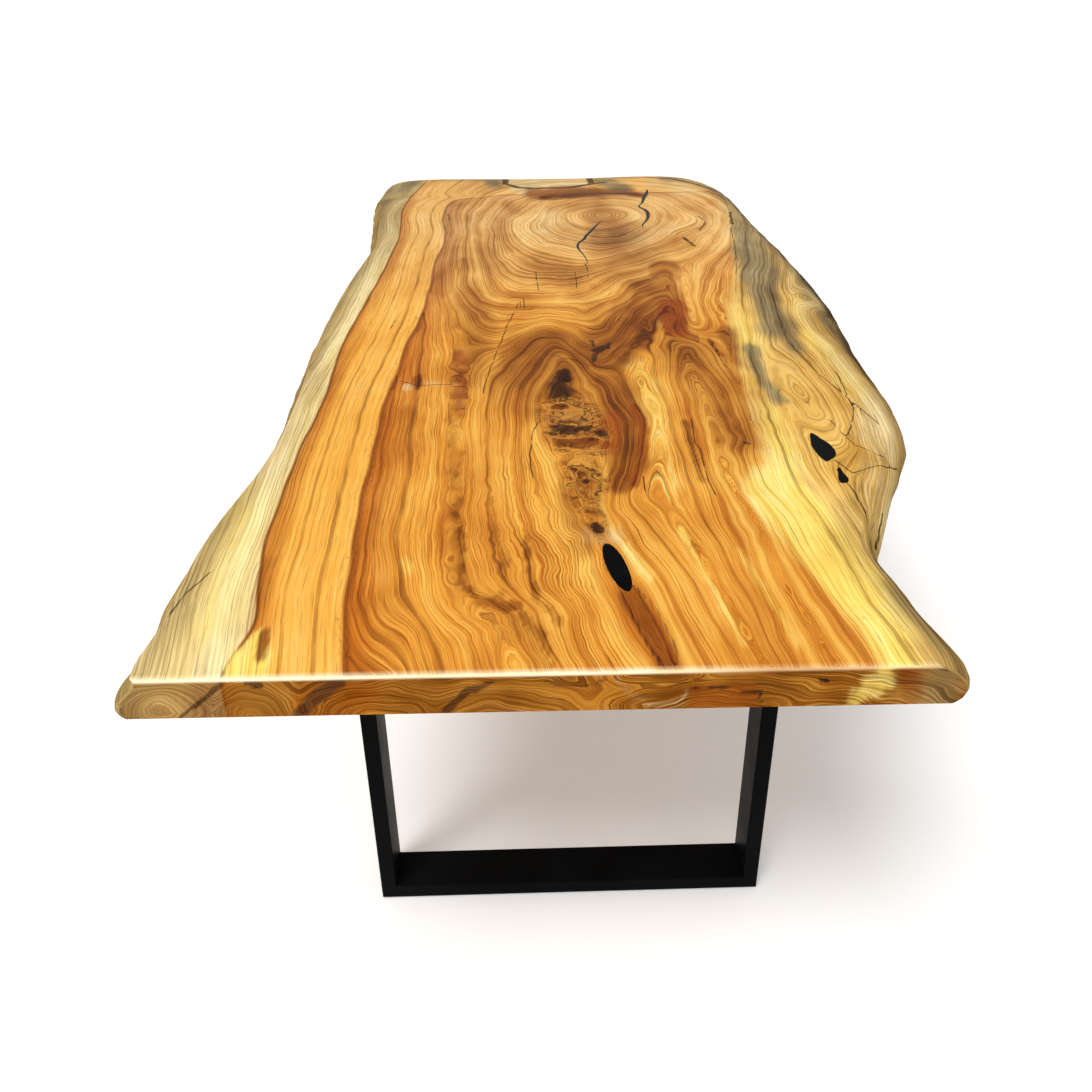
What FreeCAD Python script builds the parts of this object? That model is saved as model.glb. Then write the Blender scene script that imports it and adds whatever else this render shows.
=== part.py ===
import FreeCAD, Part
import os
from collections import namedtuple

import Sketcher
from FreeCAD import Placement, Rotation, Vector

# Live edge dining table: one natural slab on two welded loop legs.
# The origin is on the floor below the middle of the slab. X runs across the slab,
# Y along its grain from the sawn near end to the far end, and Z up. Millimetres.

doc = FreeCAD.newDocument("live_edge_table")

# Driving dimensions

SIZES = (
    ("table_height", 760, "floor to the slab's top face"),
    ("slab_length", 2370, "slab along the grain"),
    ("slab_width", 1070, "slab across the grain at its widest"),
    ("slab_thickness", 50, "slab top face to underside"),
    ("near_end_skew", 10, "how far the sawn near end runs out of square"),
    ("lower_nose_height", 14, "underside to the start of the natural edge's nose"),
    ("upper_nose_height", 28, "underside to the end of the natural edge's nose"),
    ("wane", 46, "deepest that the top face stops short of the natural edge"),
    ("undercut", 14, "deepest that the underside stops short of the natural edge"),
    ("end_roundover", 5, "radius on the sawn end's top edge"),
    ("frame_width", 636, "loop leg over both posts"),
    ("frame_offset", -30, "loop leg's middle from the slab's middle"),
    ("near_overhang", 380, "slab's near end to the near loop's outer face"),
    ("far_overhang", 380, "slab's far end to the far loop's outer face"),
    ("tube_depth", 80, "tube side along the slab"),
    ("tube_face", 25, "tube side in the loop's plane"),
    ("tube_wall", 2.5, "tube wall"),
    ("tube_corner", 3, "tube's outer corner radius"),
    ("pad_thickness", 3, "felt pad under a floor rail"),
    ("pad_length", 110, "felt pad along the rail"),
    ("pad_width", 66, "felt pad across the rail"),
    ("pad_inset", 25, "rail end to the felt pad"),
    ("bolt_count", 4, "bolts in one top rail"),
    ("bolt_pitch", 150, "distance between bolts"),
    ("bolt_diameter", 8, "bolt thread"),
    ("bolt_length", 25, "bolt under its head"),
    ("bolt_head_diameter", 14, "bolt head"),
    ("bolt_head_height", 4.4, "bolt head"),
    ("bolt_socket", 5, "hexagon socket across its flats"),
    ("bolt_socket_depth", 2.6, "hexagon socket"),
    ("washer_diameter", 17, "washer outside"),
    ("washer_thickness", 1.6, "washer"),
    ("washer_play", 0.4, "washer hole over the bolt thread"),
    ("slot_play", 1, "slot's width over the bolt thread"),
    ("slot_travel", 6, "room in the slot for the slab to swell across the grain"),
    ("access_play", 3, "access hole over the washer"),
    ("insert_diameter", 12, "threaded insert outside"),
    ("insert_length", 20, "threaded insert"),
    ("insert_play", 0.1, "hole in the slab over the insert"),
    ("insert_chamfer", 0.8, "insert's lead-in"),
    ("insert_hole_depth", 24, "hole in the slab for an insert"),
    ("thread_play", 0.1, "insert bore over the bolt thread"),
    ("fill_depth", 30, "poured resin in the open voids"),
    ("check_depth", 16, "poured resin in the drying checks"),
    ("oval_length", 112, "long void over its ends"),
    ("oval_breadth", 25, "long void across its middle"),
    ("oval_tilt", 9, "long void's lean from the grain, degrees"),
    ("oval_from_near", 212, "near end to the long void's middle"),
    ("oval_offset", 20, "long void's middle from the slab's middle"),
    ("large_void_from_near", 538, "near end to the large edge void"),
    ("large_void_from_edge", 187, "widest right edge to the large edge void"),
    ("small_void_from_near", 450, "near end to the small edge void"),
    ("small_void_from_edge", 182, "widest right edge to the small edge void"),
    ("heart_from_far", 465, "far end to the crotch's heart"),
    ("heart_offset", 130, "crotch's heart from the slab's middle"),
)

sheet = doc.addObject("Spreadsheet::Sheet", "Sizes")
for row, (alias, value, meaning) in enumerate(SIZES, start=1):
    sheet.set(f"A{row}", meaning)
    sheet.set(f"B{row}", str(value))
    sheet.setAlias(f"B{row}", alias)
doc.recompute()

# Rules that several pieces share
FRAME_HEIGHT = "(Sizes.table_height - Sizes.slab_thickness - Sizes.pad_thickness)"
UNDERSIDE = "(Sizes.table_height - Sizes.slab_thickness)"
RAIL_SEAT = f"({UNDERSIDE} - Sizes.tube_wall)"
NEAR_FRAME = "(Sizes.near_overhang + Sizes.tube_depth / 2 - Sizes.slab_length / 2)"
FAR_FRAME = "(Sizes.slab_length / 2 - Sizes.far_overhang - Sizes.tube_depth / 2)"
FIRST_BOLT = "(Sizes.frame_offset - (Sizes.bolt_count - 1) * Sizes.bolt_pitch / 2)"

finished = []


def size(alias):
    """Gives a driving dimension's value."""
    return float(sheet.get(alias))


def value_of(rule):
    """Works out a rule written in driving dimensions."""
    result = sheet.evalExpression(rule)
    return float(getattr(result, "Value", result))


def bind(item, rules):
    """Ties an item's properties to rules."""
    for path, rule in rules.items():
        item.setExpression(path, rule)


def place(item, across, along, up):
    """Ties an item's position to rules."""
    bind(item, {"Placement.Base.x": across, "Placement.Base.y": along, "Placement.Base.z": up})


def finish(item):
    """Counts an item as one of the table's pieces."""
    finished.append(item)
    return item


def datum(body, role):
    """Finds one of a body's own planes or axes."""
    return next(feature for feature in body.Origin.OriginFeatures if feature.Role == role)


def sketch_on(body, name, role):
    """Starts a sketch on one of a body's own planes."""
    sketch = body.newObject("Sketcher::SketchObject", name)
    sketch.AttachmentSupport = [(datum(body, role), "")]
    sketch.MapMode = "FlatFace"
    return sketch


def add_rule(sketch, constraint, name, rule):
    """Adds a named dimension to a sketch and ties it to a rule."""
    index = sketch.addConstraint(constraint)
    sketch.renameConstraint(index, name)
    sketch.setExpression(f"Constraints.{name}", rule)


def polygon(sketch, name, corners):
    """Draws a closed outline whose corners follow rules for their two coordinates."""
    spots = [Vector(value_of(across), value_of(up), 0) for across, up in corners]
    count = len(spots)
    first = sketch.GeometryCount
    for index, spot in enumerate(spots):
        sketch.addGeometry(Part.LineSegment(spot, spots[(index + 1) % count]), False)
    for index, (across, up) in enumerate(corners):
        line = first + index
        before = first + (index - 1) % count
        sketch.addConstraint(Sketcher.Constraint("Coincident", before, 2, line, 1))
        spot = spots[index]
        if across == "0":
            sketch.addConstraint(Sketcher.Constraint("PointOnObject", line, 1, -2))
        else:
            add_rule(sketch, Sketcher.Constraint("DistanceX", -1, 1, line, 1, spot.x), f"{name}_x{index}", across)
        if up == "0":
            sketch.addConstraint(Sketcher.Constraint("PointOnObject", line, 1, -1))
        else:
            add_rule(sketch, Sketcher.Constraint("DistanceY", -1, 1, line, 1, spot.y), f"{name}_y{index}", up)


def rounded_rectangle(sketch, name, half_width, half_height, radius):
    """Draws a rectangle with rounded corners, centred on the sketch's origin."""
    wide = value_of(half_width)
    high = value_of(half_height)
    round_ = value_of(radius)
    inner_x = wide - round_
    inner_y = high - round_
    sides = (
        (Vector(-inner_x, -high), Vector(inner_x, -high)),
        (Vector(wide, -inner_y), Vector(wide, inner_y)),
        (Vector(inner_x, high), Vector(-inner_x, high)),
        (Vector(-wide, inner_y), Vector(-wide, -inner_y)),
    )
    centres = ((inner_x, -inner_y), (inner_x, inner_y), (-inner_x, inner_y), (-inner_x, -inner_y))
    quarter = 1.5707963267948966
    first = sketch.GeometryCount
    for start, end in sides:
        sketch.addGeometry(Part.LineSegment(start, end), False)
    for index, (across, up) in enumerate(centres):
        circle = Part.Circle(Vector(across, up), Vector(0, 0, 1), round_)
        sketch.addGeometry(Part.ArcOfCircle(circle, (index - 1) * quarter, index * quarter), False)
    for index in range(4):
        arc = first + 4 + index
        sketch.addConstraint(Sketcher.Constraint("Tangent", first + index, 2, arc, 1))
        sketch.addConstraint(Sketcher.Constraint("Tangent", arc, 2, first + (index + 1) % 4, 1))
        sketch.addConstraint(Sketcher.Constraint("Vertical" if index % 2 else "Horizontal", first + index))
        if index:
            sketch.addConstraint(Sketcher.Constraint("Equal", first + 4, arc))
    add_rule(sketch, Sketcher.Constraint("Radius", first + 4, round_), f"{name}_radius", radius)
    add_rule(sketch, Sketcher.Constraint("DistanceX", -1, 1, first + 1, 1, wide), f"{name}_right", half_width)
    add_rule(sketch, Sketcher.Constraint("DistanceX", first + 3, 1, -1, 1, wide), f"{name}_left", half_width)
    add_rule(sketch, Sketcher.Constraint("DistanceY", -1, 1, first + 2, 1, high), f"{name}_top", half_height)
    add_rule(sketch, Sketcher.Constraint("DistanceY", first, 1, -1, 1, high), f"{name}_bottom", half_height)


def cut_through(body, sketch, name, both_ways=True, reverse=False):
    """Cuts a sketch's outline through everything on one side of it, or on both."""
    pocket = body.newObject("PartDesign::Pocket", name)
    pocket.Profile = sketch
    pocket.Type = "ThroughAll"
    pocket.Reversed = reverse
    if both_ways:
        pocket.SideType = "Symmetric"
    return pocket


def repeat_along_x(body, features, name, count, pitch):
    """Repeats features of a body in a row along X."""
    doc.recompute()
    row = body.newObject("PartDesign::LinearPattern", name)
    row.Originals = features
    row.Direction = (datum(body, "X_Axis"), [""])
    row.Mode = "Spacing"
    bind(row, {"Occurrences": count, "Offset": pitch})
    body.Tip = row
    return row


# Loop legs: four mitred lengths of rectangular tube each


def tube_section(sketch, half_width, half_height):
    """Draws the tube's section: the outside and the bore."""
    rounded_rectangle(sketch, "outside", half_width, half_height, "Sizes.tube_corner")
    rounded_rectangle(
        sketch,
        "bore",
        f"{half_width} - Sizes.tube_wall",
        f"{half_height} - Sizes.tube_wall",
        "Sizes.tube_corner - 0.8 * Sizes.tube_wall",
    )


def post(name, side, along):
    """Builds an upright tube, mitred at both ends towards the loop's inside."""
    body = doc.addObject("PartDesign::Body", name)
    section = sketch_on(body, f"{name}_section", "XY_Plane")
    tube_section(section, "Sizes.tube_face / 2", "Sizes.tube_depth / 2")
    length = body.newObject("PartDesign::Pad", f"{name}_length")
    length.Profile = section
    bind(length, {"Length": FRAME_HEIGHT})
    outer = f"{-side} * Sizes.tube_face / 2"
    inner = f"{side} * Sizes.tube_face / 2"
    mitres = sketch_on(body, f"{name}_mitres", "XZ_Plane")
    polygon(mitres, "foot", ((outer, "0"), (inner, "0"), (inner, "Sizes.tube_face")))
    polygon(
        mitres,
        "head",
        ((outer, FRAME_HEIGHT), (inner, FRAME_HEIGHT), (inner, f"{FRAME_HEIGHT} - Sizes.tube_face")),
    )
    cut_through(body, mitres, f"{name}_mitre_cuts")
    middle = f"Sizes.frame_offset - {side} * (Sizes.frame_width - Sizes.tube_face) / 2"
    place(body, middle, along, "Sizes.pad_thickness")
    return finish(body)


def rail(name, outer, along, up):
    """Builds a level tube, mitred at both ends; outer is 1 where its long side faces up."""
    body = doc.addObject("PartDesign::Body", name)
    section = sketch_on(body, f"{name}_section", "YZ_Plane")
    tube_section(section, "Sizes.tube_depth / 2", "Sizes.tube_face / 2")
    length = body.newObject("PartDesign::Pad", f"{name}_length")
    length.Profile = section
    length.SideType = "Symmetric"
    bind(length, {"Length": "Sizes.frame_width"})
    long_side = f"{outer} * Sizes.tube_face / 2"
    short_side = f"{-outer} * Sizes.tube_face / 2"
    mitres = sketch_on(body, f"{name}_mitres", "XZ_Plane")
    for end, word in ((-1, "left"), (1, "right")):
        tip = f"{end} * Sizes.frame_width / 2"
        heel = f"{end} * (Sizes.frame_width / 2 - Sizes.tube_face)"
        polygon(mitres, word, ((tip, long_side), (tip, short_side), (heel, short_side)))
    cut_through(body, mitres, f"{name}_mitre_cuts")
    place(body, "Sizes.frame_offset", along, up)
    return body


def bolted_rail(name, along):
    """Builds a top rail, with slots for the bolts and access holes below them."""
    body = rail(name, 1, along, f"{UNDERSIDE} - Sizes.tube_face / 2")
    first = "-(Sizes.bolt_count - 1) * Sizes.bolt_pitch / 2"
    slot = sketch_on(body, f"{name}_slot", "XY_Plane")
    half_slot = "(Sizes.bolt_diameter + Sizes.slot_play) / 2"
    reach = "Sizes.slot_travel / 2"
    left = value_of(f"{first} - {reach}")
    right = value_of(f"{first} + {reach}")
    radius = value_of(half_slot)
    quarter = 1.5707963267948966
    slot.addGeometry(Part.LineSegment(Vector(left, -radius), Vector(right, -radius)), False)
    slot.addGeometry(Part.LineSegment(Vector(right, radius), Vector(left, radius)), False)
    for centre, start in ((right, -quarter), (left, quarter)):
        circle = Part.Circle(Vector(centre, 0), Vector(0, 0, 1), radius)
        slot.addGeometry(Part.ArcOfCircle(circle, start, start + 2 * quarter), False)
    for line, line_end, arc, arc_end in ((0, 2, 2, 1), (2, 2, 1, 1), (1, 2, 3, 1), (3, 2, 0, 1)):
        slot.addConstraint(Sketcher.Constraint("Tangent", line, line_end, arc, arc_end))
    slot.addConstraint(Sketcher.Constraint("PointOnObject", 2, 3, -1))
    slot.addConstraint(Sketcher.Constraint("PointOnObject", 3, 3, -1))
    add_rule(slot, Sketcher.Constraint("Radius", 2, radius), "slot_radius", half_slot)
    add_rule(slot, Sketcher.Constraint("DistanceX", -1, 1, 2, 3, right), "slot_right", f"{first} + {reach}")
    add_rule(slot, Sketcher.Constraint("DistanceX", -1, 1, 3, 3, left), "slot_left", f"{first} - {reach}")
    slot_cut = cut_through(body, slot, f"{name}_slot_cut", both_ways=False, reverse=True)
    repeat_along_x(body, [slot_cut], f"{name}_slots", "Sizes.bolt_count", "Sizes.bolt_pitch")
    access = sketch_on(body, f"{name}_access", "XY_Plane")
    access_radius = "(Sizes.washer_diameter + Sizes.access_play) / 2"
    circle = Part.Circle(Vector(value_of(first), 0), Vector(0, 0, 1), value_of(access_radius))
    access.addGeometry(circle, False)
    access.addConstraint(Sketcher.Constraint("PointOnObject", 0, 3, -1))
    add_rule(access, Sketcher.Constraint("Radius", 0, value_of(access_radius)), "access_radius", access_radius)
    add_rule(access, Sketcher.Constraint("DistanceX", -1, 1, 0, 3, value_of(first)), "access_place", first)
    access_cut = cut_through(body, access, f"{name}_access_cut", both_ways=False)
    repeat_along_x(body, [access_cut], f"{name}_access_holes", "Sizes.bolt_count", "Sizes.bolt_pitch")
    return finish(body)


# Fasteners and pads, each a row of like pieces


def turned_row(name, corners, along, up):
    """Builds a row of turned pieces at the bolts' places from one half section."""
    body = doc.addObject("PartDesign::Body", name)
    section = sketch_on(body, f"{name}_section", "XZ_Plane")
    polygon(section, "half", corners)
    turned = body.newObject("PartDesign::Revolution", f"{name}_turned")
    turned.Profile = section
    turned.ReferenceAxis = (section, ["V_Axis"])
    turned.Angle = 360
    place(body, FIRST_BOLT, along, up)
    return body, turned


def spread(body, features):
    """Repeats a fastener at every bolt's place."""
    repeat_along_x(body, features, f"{body.Name}_row", "Sizes.bolt_count", "Sizes.bolt_pitch")
    return body


def inserts(name, along):
    """Builds the threaded sleeves set into the slab's underside."""
    bore = "(Sizes.bolt_diameter + Sizes.thread_play) / 2"
    outside = "Sizes.insert_diameter / 2"
    lead = "Sizes.insert_chamfer"
    corners = (
        (bore, "0"),
        (outside, "0"),
        (outside, f"Sizes.insert_length - {lead}"),
        (f"{outside} - {lead}", "Sizes.insert_length"),
        (bore, "Sizes.insert_length"),
    )
    body, turned = turned_row(name, corners, along, UNDERSIDE)
    return finish(spread(body, [turned]))


def insert_holes(name, along):
    """Builds the shape of the blind holes that the sleeves sit in."""
    radius = "(Sizes.insert_diameter + Sizes.insert_play) / 2"
    depth = "Sizes.insert_hole_depth"
    body, turned = turned_row(name, (("0", "0"), (radius, "0"), (radius, depth), ("0", depth)), along, UNDERSIDE)
    return spread(body, [turned])


def washers(name, along):
    """Builds the washers under the top wall of a top rail."""
    hole = "(Sizes.bolt_diameter + Sizes.washer_play) / 2"
    outside = "Sizes.washer_diameter / 2"
    low = "-Sizes.washer_thickness"
    body, turned = turned_row(name, ((hole, "0"), (outside, "0"), (outside, low), (hole, low)), along, RAIL_SEAT)
    return finish(spread(body, [turned]))


def bolts(name, along):
    """Builds the button head bolts, heads down inside a top rail."""
    shank = "Sizes.bolt_diameter / 2"
    head = "Sizes.bolt_head_diameter / 2"
    shoulder = "Sizes.bolt_head_diameter * 0.32"
    top = "-Sizes.bolt_head_height"
    corners = (
        ("0", top),
        (shoulder, top),
        (head, "-0.3 * Sizes.bolt_head_height"),
        (head, "0"),
        (shank, "0"),
        (shank, "Sizes.bolt_length"),
        ("0", "Sizes.bolt_length"),
    )
    body, turned = turned_row(name, corners, along, f"{RAIL_SEAT} - Sizes.washer_thickness")
    doc.recompute()
    socket = sketch_on(body, f"{name}_socket", "XY_Plane")
    bind(socket, {"AttachmentOffset.Base.z": top})
    corner = "Sizes.bolt_socket / 1.7320508"
    half = "Sizes.bolt_socket / 2"
    polygon(
        socket,
        "hexagon",
        (
            (corner, "0"),
            (f"{corner} / 2", half),
            (f"-{corner} / 2", half),
            (f"-{corner}", "0"),
            (f"-{corner} / 2", f"-{half}"),
            (f"{corner} / 2", f"-{half}"),
        ),
    )
    recess = body.newObject("PartDesign::Pocket", f"{name}_recess")
    recess.Profile = socket
    recess.Reversed = True
    bind(recess, {"Length": "Sizes.bolt_socket_depth"})
    return finish(spread(body, [turned, recess]))


def floor_pads(name, along):
    """Builds the felt pads under a floor rail, one near each end."""
    body = doc.addObject("PartDesign::Body", name)
    outline = sketch_on(body, f"{name}_outline", "XY_Plane")
    left = "-Sizes.frame_width / 2 + Sizes.pad_inset"
    right = f"{left} + Sizes.pad_length"
    near = "-Sizes.pad_width / 2"
    far = "Sizes.pad_width / 2"
    polygon(outline, "pad", ((left, near), (right, near), (right, far), (left, far)))
    sheet_of_felt = body.newObject("PartDesign::Pad", f"{name}_felt")
    sheet_of_felt.Profile = outline
    bind(sheet_of_felt, {"Length": "Sizes.pad_thickness"})
    place(body, "Sizes.frame_offset", along, "0")
    step = "Sizes.frame_width - 2 * Sizes.pad_inset - Sizes.pad_length"
    repeat_along_x(body, [sheet_of_felt], f"{name}_pair", "2", step)
    return finish(body)


# Poured resin in the slab's voids and checks


def poured(name, face, depth, across, along):
    """Builds a fill from its outline in the slab's top face, poured to a depth."""
    outline = doc.addObject("Part::Feature", f"{name}_outline")
    outline.Shape = face
    fill = doc.addObject("Part::Extrusion", name)
    fill.Base = outline
    fill.DirMode = "Custom"
    fill.Dir = Vector(0, 0, -1)
    fill.Solid = True
    bind(fill, {"LengthFwd": depth})
    place(fill, across, along, "Sizes.table_height")
    return finish(fill)


def void_face(points):
    """Makes a face bounded by one smooth closed curve."""
    curve = Part.BSplineCurve()
    curve.interpolate([Vector(across, along, 0) for across, along in points], PeriodicFlag=True)
    return Part.Face(Part.Wire([curve.toShape()]))


def check_face(points):
    """Makes a crack's face from its centre line and half widths; it closes to a point at both ends."""
    centres = [Vector(across, along, 0) for across, along, _ in points]
    edges = []
    for hand in (1, -1):
        side = [centres[0]]
        for index in range(1, len(points) - 1):
            heading = (centres[index + 1] - centres[index - 1]).normalize()
            side.append(centres[index] + Vector(-heading.y, heading.x, 0) * (hand * points[index][2]))
        side.append(centres[-1])
        curve = Part.BSplineCurve()
        curve.interpolate(side)
        edges.append(curve.toShape())
    return Part.Face(Part.Wire(Part.sortEdges(edges)[0]))


def oval_fill(name):
    """Builds the long void's fill, an oval that leans from the grain."""
    outline = doc.addObject("Part::Ellipse", f"{name}_outline")
    bind(outline, {"MajorRadius": "Sizes.oval_length / 2", "MinorRadius": "Sizes.oval_breadth / 2"})
    fill = doc.addObject("Part::Extrusion", name)
    fill.Base = outline
    fill.DirMode = "Custom"
    fill.Dir = Vector(0, 0, -1)
    fill.Solid = True
    bind(fill, {"LengthFwd": "Sizes.fill_depth"})
    fill.Placement = Placement(Vector(), Rotation(Vector(0, 0, 1), 90 + size("oval_tilt")))
    bind(fill, {"Placement.Rotation.Angle": "(90 + Sizes.oval_tilt) * 1 deg"})
    place(fill, "Sizes.oval_offset", "Sizes.oval_from_near - Sizes.slab_length / 2", "Sizes.table_height")
    return finish(fill)


LARGE_VOID = (
    (-9, 33), (-4.6, 40), (0, 33), (4, 21), (10, 8), (14.5, -10), (14.5, -28), (9, -43), (1, -51), (-5, -56),
    (-10, -48), (-14, -25), (-15, 0), (-12, 17),
)
SMALL_VOID = (
    (-1.6, 8), (2, 12), (3.5, 3), (4, -8), (6, -18), (4.6, -28), (-1, -35), (-6, -35), (-8, -22), (-5, -9), (-3, 1),
)
# Crack centre lines from the crotch's heart, each with half its width
HEART_CHECK = (
    (-14, -43, 0), (-26, -80, 2), (-38, -115, 3), (-52, -160, 3.5), (-63, -193, 3.5), (-68, -217, 4),
    (-80, -245, 3), (-87, -287, 2.5), (-80, -335, 1.6), (-74, -375, 1.2), (-72, -429, 0),
)
RING_CHECK = (
    (-130, 211, 0), (-90, 217, 2.5), (-50, 228, 4), (-10, 239, 5), (35, 241, 5), (72, 232, 4), (108, 216, 0),
)
SHAKE = (
    (130, 301, 0), (133, 265, 2.5), (125, 225, 6), (117, 190, 5), (110, 155, 4), (102, 120, 2.5), (94, 97, 2),
    (94, 82, 3), (103, 58, 4.5), (108, 25, 5), (105, -20, 4), (96, -60, 3), (85, -92, 2), (83, -127, 0),
)

fills = [oval_fill("resin_fill_oval")]
for name, points, word in (
    ("resin_fill_edge_large", LARGE_VOID, "large"),
    ("resin_fill_edge_small", SMALL_VOID, "small"),
):
    across = f"Sizes.slab_width / 2 - Sizes.{word}_void_from_edge"
    along = f"Sizes.{word}_void_from_near - Sizes.slab_length / 2"
    fills.append(poured(name, void_face(points), "Sizes.fill_depth", across, along))
for name, points in (
    ("resin_fill_heart_check", HEART_CHECK),
    ("resin_fill_ring_check", RING_CHECK),
    ("resin_fill_shake", SHAKE),
):
    along = "Sizes.slab_length / 2 - Sizes.heart_from_far"
    fills.append(poured(name, check_face(points), "Sizes.check_depth", "Sizes.heart_offset", along))

# Slab: the natural outline at its widest, from the sawn near end up the left edge, round the
# far end and back down the right edge. Across is a share of the slab's width from its middle, and
# along a share of its length from its near end. Wane is how far the top face stops short of the
# outline and lean how far the side does at the top of its nose, in shares of the deepest wane.
# Undercut is how far the underside stops short, in shares of the deepest undercut.

EdgePoint = namedtuple("EdgePoint", "across along wane lean undercut")
LEFT_EDGE = (
    (-0.4888, 0.0030, 0.40, 0.22, 0.3), (-0.4968, 0.0090, 0.52, 0.28, 0.2), (-0.4968, 0.0250, 0.54, 0.28, 0.2),
    (-0.4908, 0.0460, 0.54, 0.28, 0.3), (-0.4898, 0.1011, 0.54, 0.28, 0.3), (-0.4768, 0.1572, 0.52, 0.26, 0.3),
    (-0.4569, 0.2122, 0.50, 0.24, 0.4), (-0.4480, 0.2683, 0.48, 0.24, 0.4), (-0.4490, 0.3243, 0.48, 0.24, 0.4),
    (-0.4530, 0.3804, 0.48, 0.24, 0.4), (-0.4549, 0.4354, 0.48, 0.24, 0.4), (-0.4490, 0.5465, 0.46, 0.22, 0.4),
    (-0.4301, 0.6577, 0.44, 0.22, 0.4), (-0.4241, 0.7137, 0.44, 0.22, 0.4), (-0.4340, 0.7698, 0.46, 0.22, 0.5),
    (-0.4430, 0.8248, 0.48, 0.22, 0.5), (-0.4559, 0.8809, 0.52, 0.22, 0.6), (-0.4599, 0.9209, 0.56, 0.22, 0.6),
)
FAR_END = (
    (-0.4569, 0.9499, 0.60, 0.20, 0.6), (-0.4420, 0.9780, 0.60, 0.17, 0.6), (-0.3972, 0.9960, 0.44, 0.13, 0.6),
    (-0.3275, 1.0000, 0.22, 0.07, 0.5), (-0.2150, 0.9980, 0.18, 0.04, 0.5), (-0.1175, 0.9940, 0.18, 0.04, 0.4),
    (0.0000, 0.9920, 0.18, 0.04, 0.4), (0.1055, 0.9920, 0.18, 0.04, 0.4), (0.2101, 0.9970, 0.22, 0.04, 0.5),
    (0.2996, 0.9990, 0.40, 0.07, 0.6), (0.3624, 0.9950, 0.74, 0.09, 0.6), (0.4101, 0.9800, 0.96, 0.11, 0.7),
    (0.4400, 0.9529, 1.00, 0.11, 0.7),
)
RIGHT_EDGE = (
    (0.4549, 0.9209, 0.92, 0.09, 0.7), (0.4649, 0.8739, 0.84, 0.09, 0.7), (0.4699, 0.8038, 0.78, 0.09, 0.8),
    (0.4868, 0.6947, 0.92, 0.09, 0.9), (0.4968, 0.6036, 0.96, 0.09, 0.9), (0.4997, 0.5325, 0.96, 0.09, 0.9),
    (0.4948, 0.4755, 0.96, 0.09, 0.9), (0.4838, 0.4054, 0.96, 0.09, 0.9), (0.4788, 0.3293, 0.84, 0.09, 0.9),
    (0.4749, 0.2873, 0.74, 0.09, 0.9), (0.4639, 0.2543, 0.66, 0.09, 0.9), (0.4450, 0.2272, 0.60, 0.09, 0.9),
    (0.4052, 0.1872, 0.56, 0.09, 0.9), (0.3644, 0.1461, 0.54, 0.09, 0.9), (0.3405, 0.1201, 0.54, 0.09, 0.9),
    (0.3305, 0.1041, 0.56, 0.09, 0.9), (0.3325, 0.0911, 0.60, 0.09, 0.9), (0.3454, 0.0551, 0.74, 0.09, 1.0),
    (0.3594, 0.0210, 0.92, 0.11, 1.0), (0.3604, 0.0080, 0.96, 0.13, 1.0), (0.3514, 0.0000, 0.78, 0.11, 0.9),
)
NATURAL_EDGE = [EdgePoint(*shares) for shares in LEFT_EDGE + FAR_END + RIGHT_EDGE]


def widest_outline():
    """Gives the natural edge's points at their widest, seen from above."""
    width = size("slab_width")
    length = size("slab_length")
    places = [Vector(point.across * width, (point.along - 0.5) * length, 0) for point in NATURAL_EDGE]
    run = places[-1].x - places[0].x
    places[0].y = places[-1].y + size("near_end_skew") * run / width
    return places


def spaced_parameters(places):
    """Spaces the points along the curve by the square root of their distance, so that it can't swing out."""
    parameters = [0.0]
    for before, after in zip(places, places[1:]):
        parameters.append(parameters[-1] + (after - before).Length ** 0.5)
    return parameters


def natural_outline(insets, height):
    """Makes the slab's closed outline at one height, drawn in from its widest by the insets."""
    places = widest_outline()
    last = len(places) - 1
    near_line = (places[-1] - places[0]).normalize()
    drawn_in = []
    for index, (spot, inset) in enumerate(zip(places, insets)):
        if index in (0, last):
            inward = near_line if index == 0 else near_line * -1
        else:
            heading = (places[index + 1] - places[index - 1]).normalize()
            inward = Vector(heading.y, -heading.x, 0)
        drawn_in.append(spot + inward * inset + Vector(0, 0, height))
    edge = Part.BSplineCurve()
    edge.interpolate(drawn_in, Parameters=spaced_parameters(places))
    sawn = Part.LineSegment(drawn_in[-1], drawn_in[0])
    return Part.Wire([edge.toShape(), sawn.toShape()])


sections = [
    natural_outline([point.undercut * size("undercut") for point in NATURAL_EDGE], 0),
    natural_outline([0 for point in NATURAL_EDGE], size("lower_nose_height")),
    natural_outline([point.lean * size("wane") for point in NATURAL_EDGE], size("upper_nose_height")),
    natural_outline([point.wane * size("wane") for point in NATURAL_EDGE], size("slab_thickness")),
]
board = doc.addObject("Part::Feature", "board")
board.Shape = Part.makeLoft(sections, True, False)
place(board, "0", "0", UNDERSIDE)
doc.recompute()

# The sawn end's top edge is the level straight edge nearest the near end
top_level = size("table_height")
top_edges = []
for index, edge in enumerate(board.Shape.Edges, start=1):
    ends = [corner.Point for corner in edge.Vertexes]
    level = all(abs(end.z - top_level) < 0.01 for end in ends)
    straight = len(ends) == 2 and abs(edge.Length - (ends[1] - ends[0]).Length) < 0.01
    if level and straight:
        top_edges.append(index)
rounded_board = doc.addObject("Part::Fillet", "rounded_board")
rounded_board.Base = board
rounded_board.Edges = [(index, size("end_roundover"), size("end_roundover")) for index in top_edges]

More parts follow.
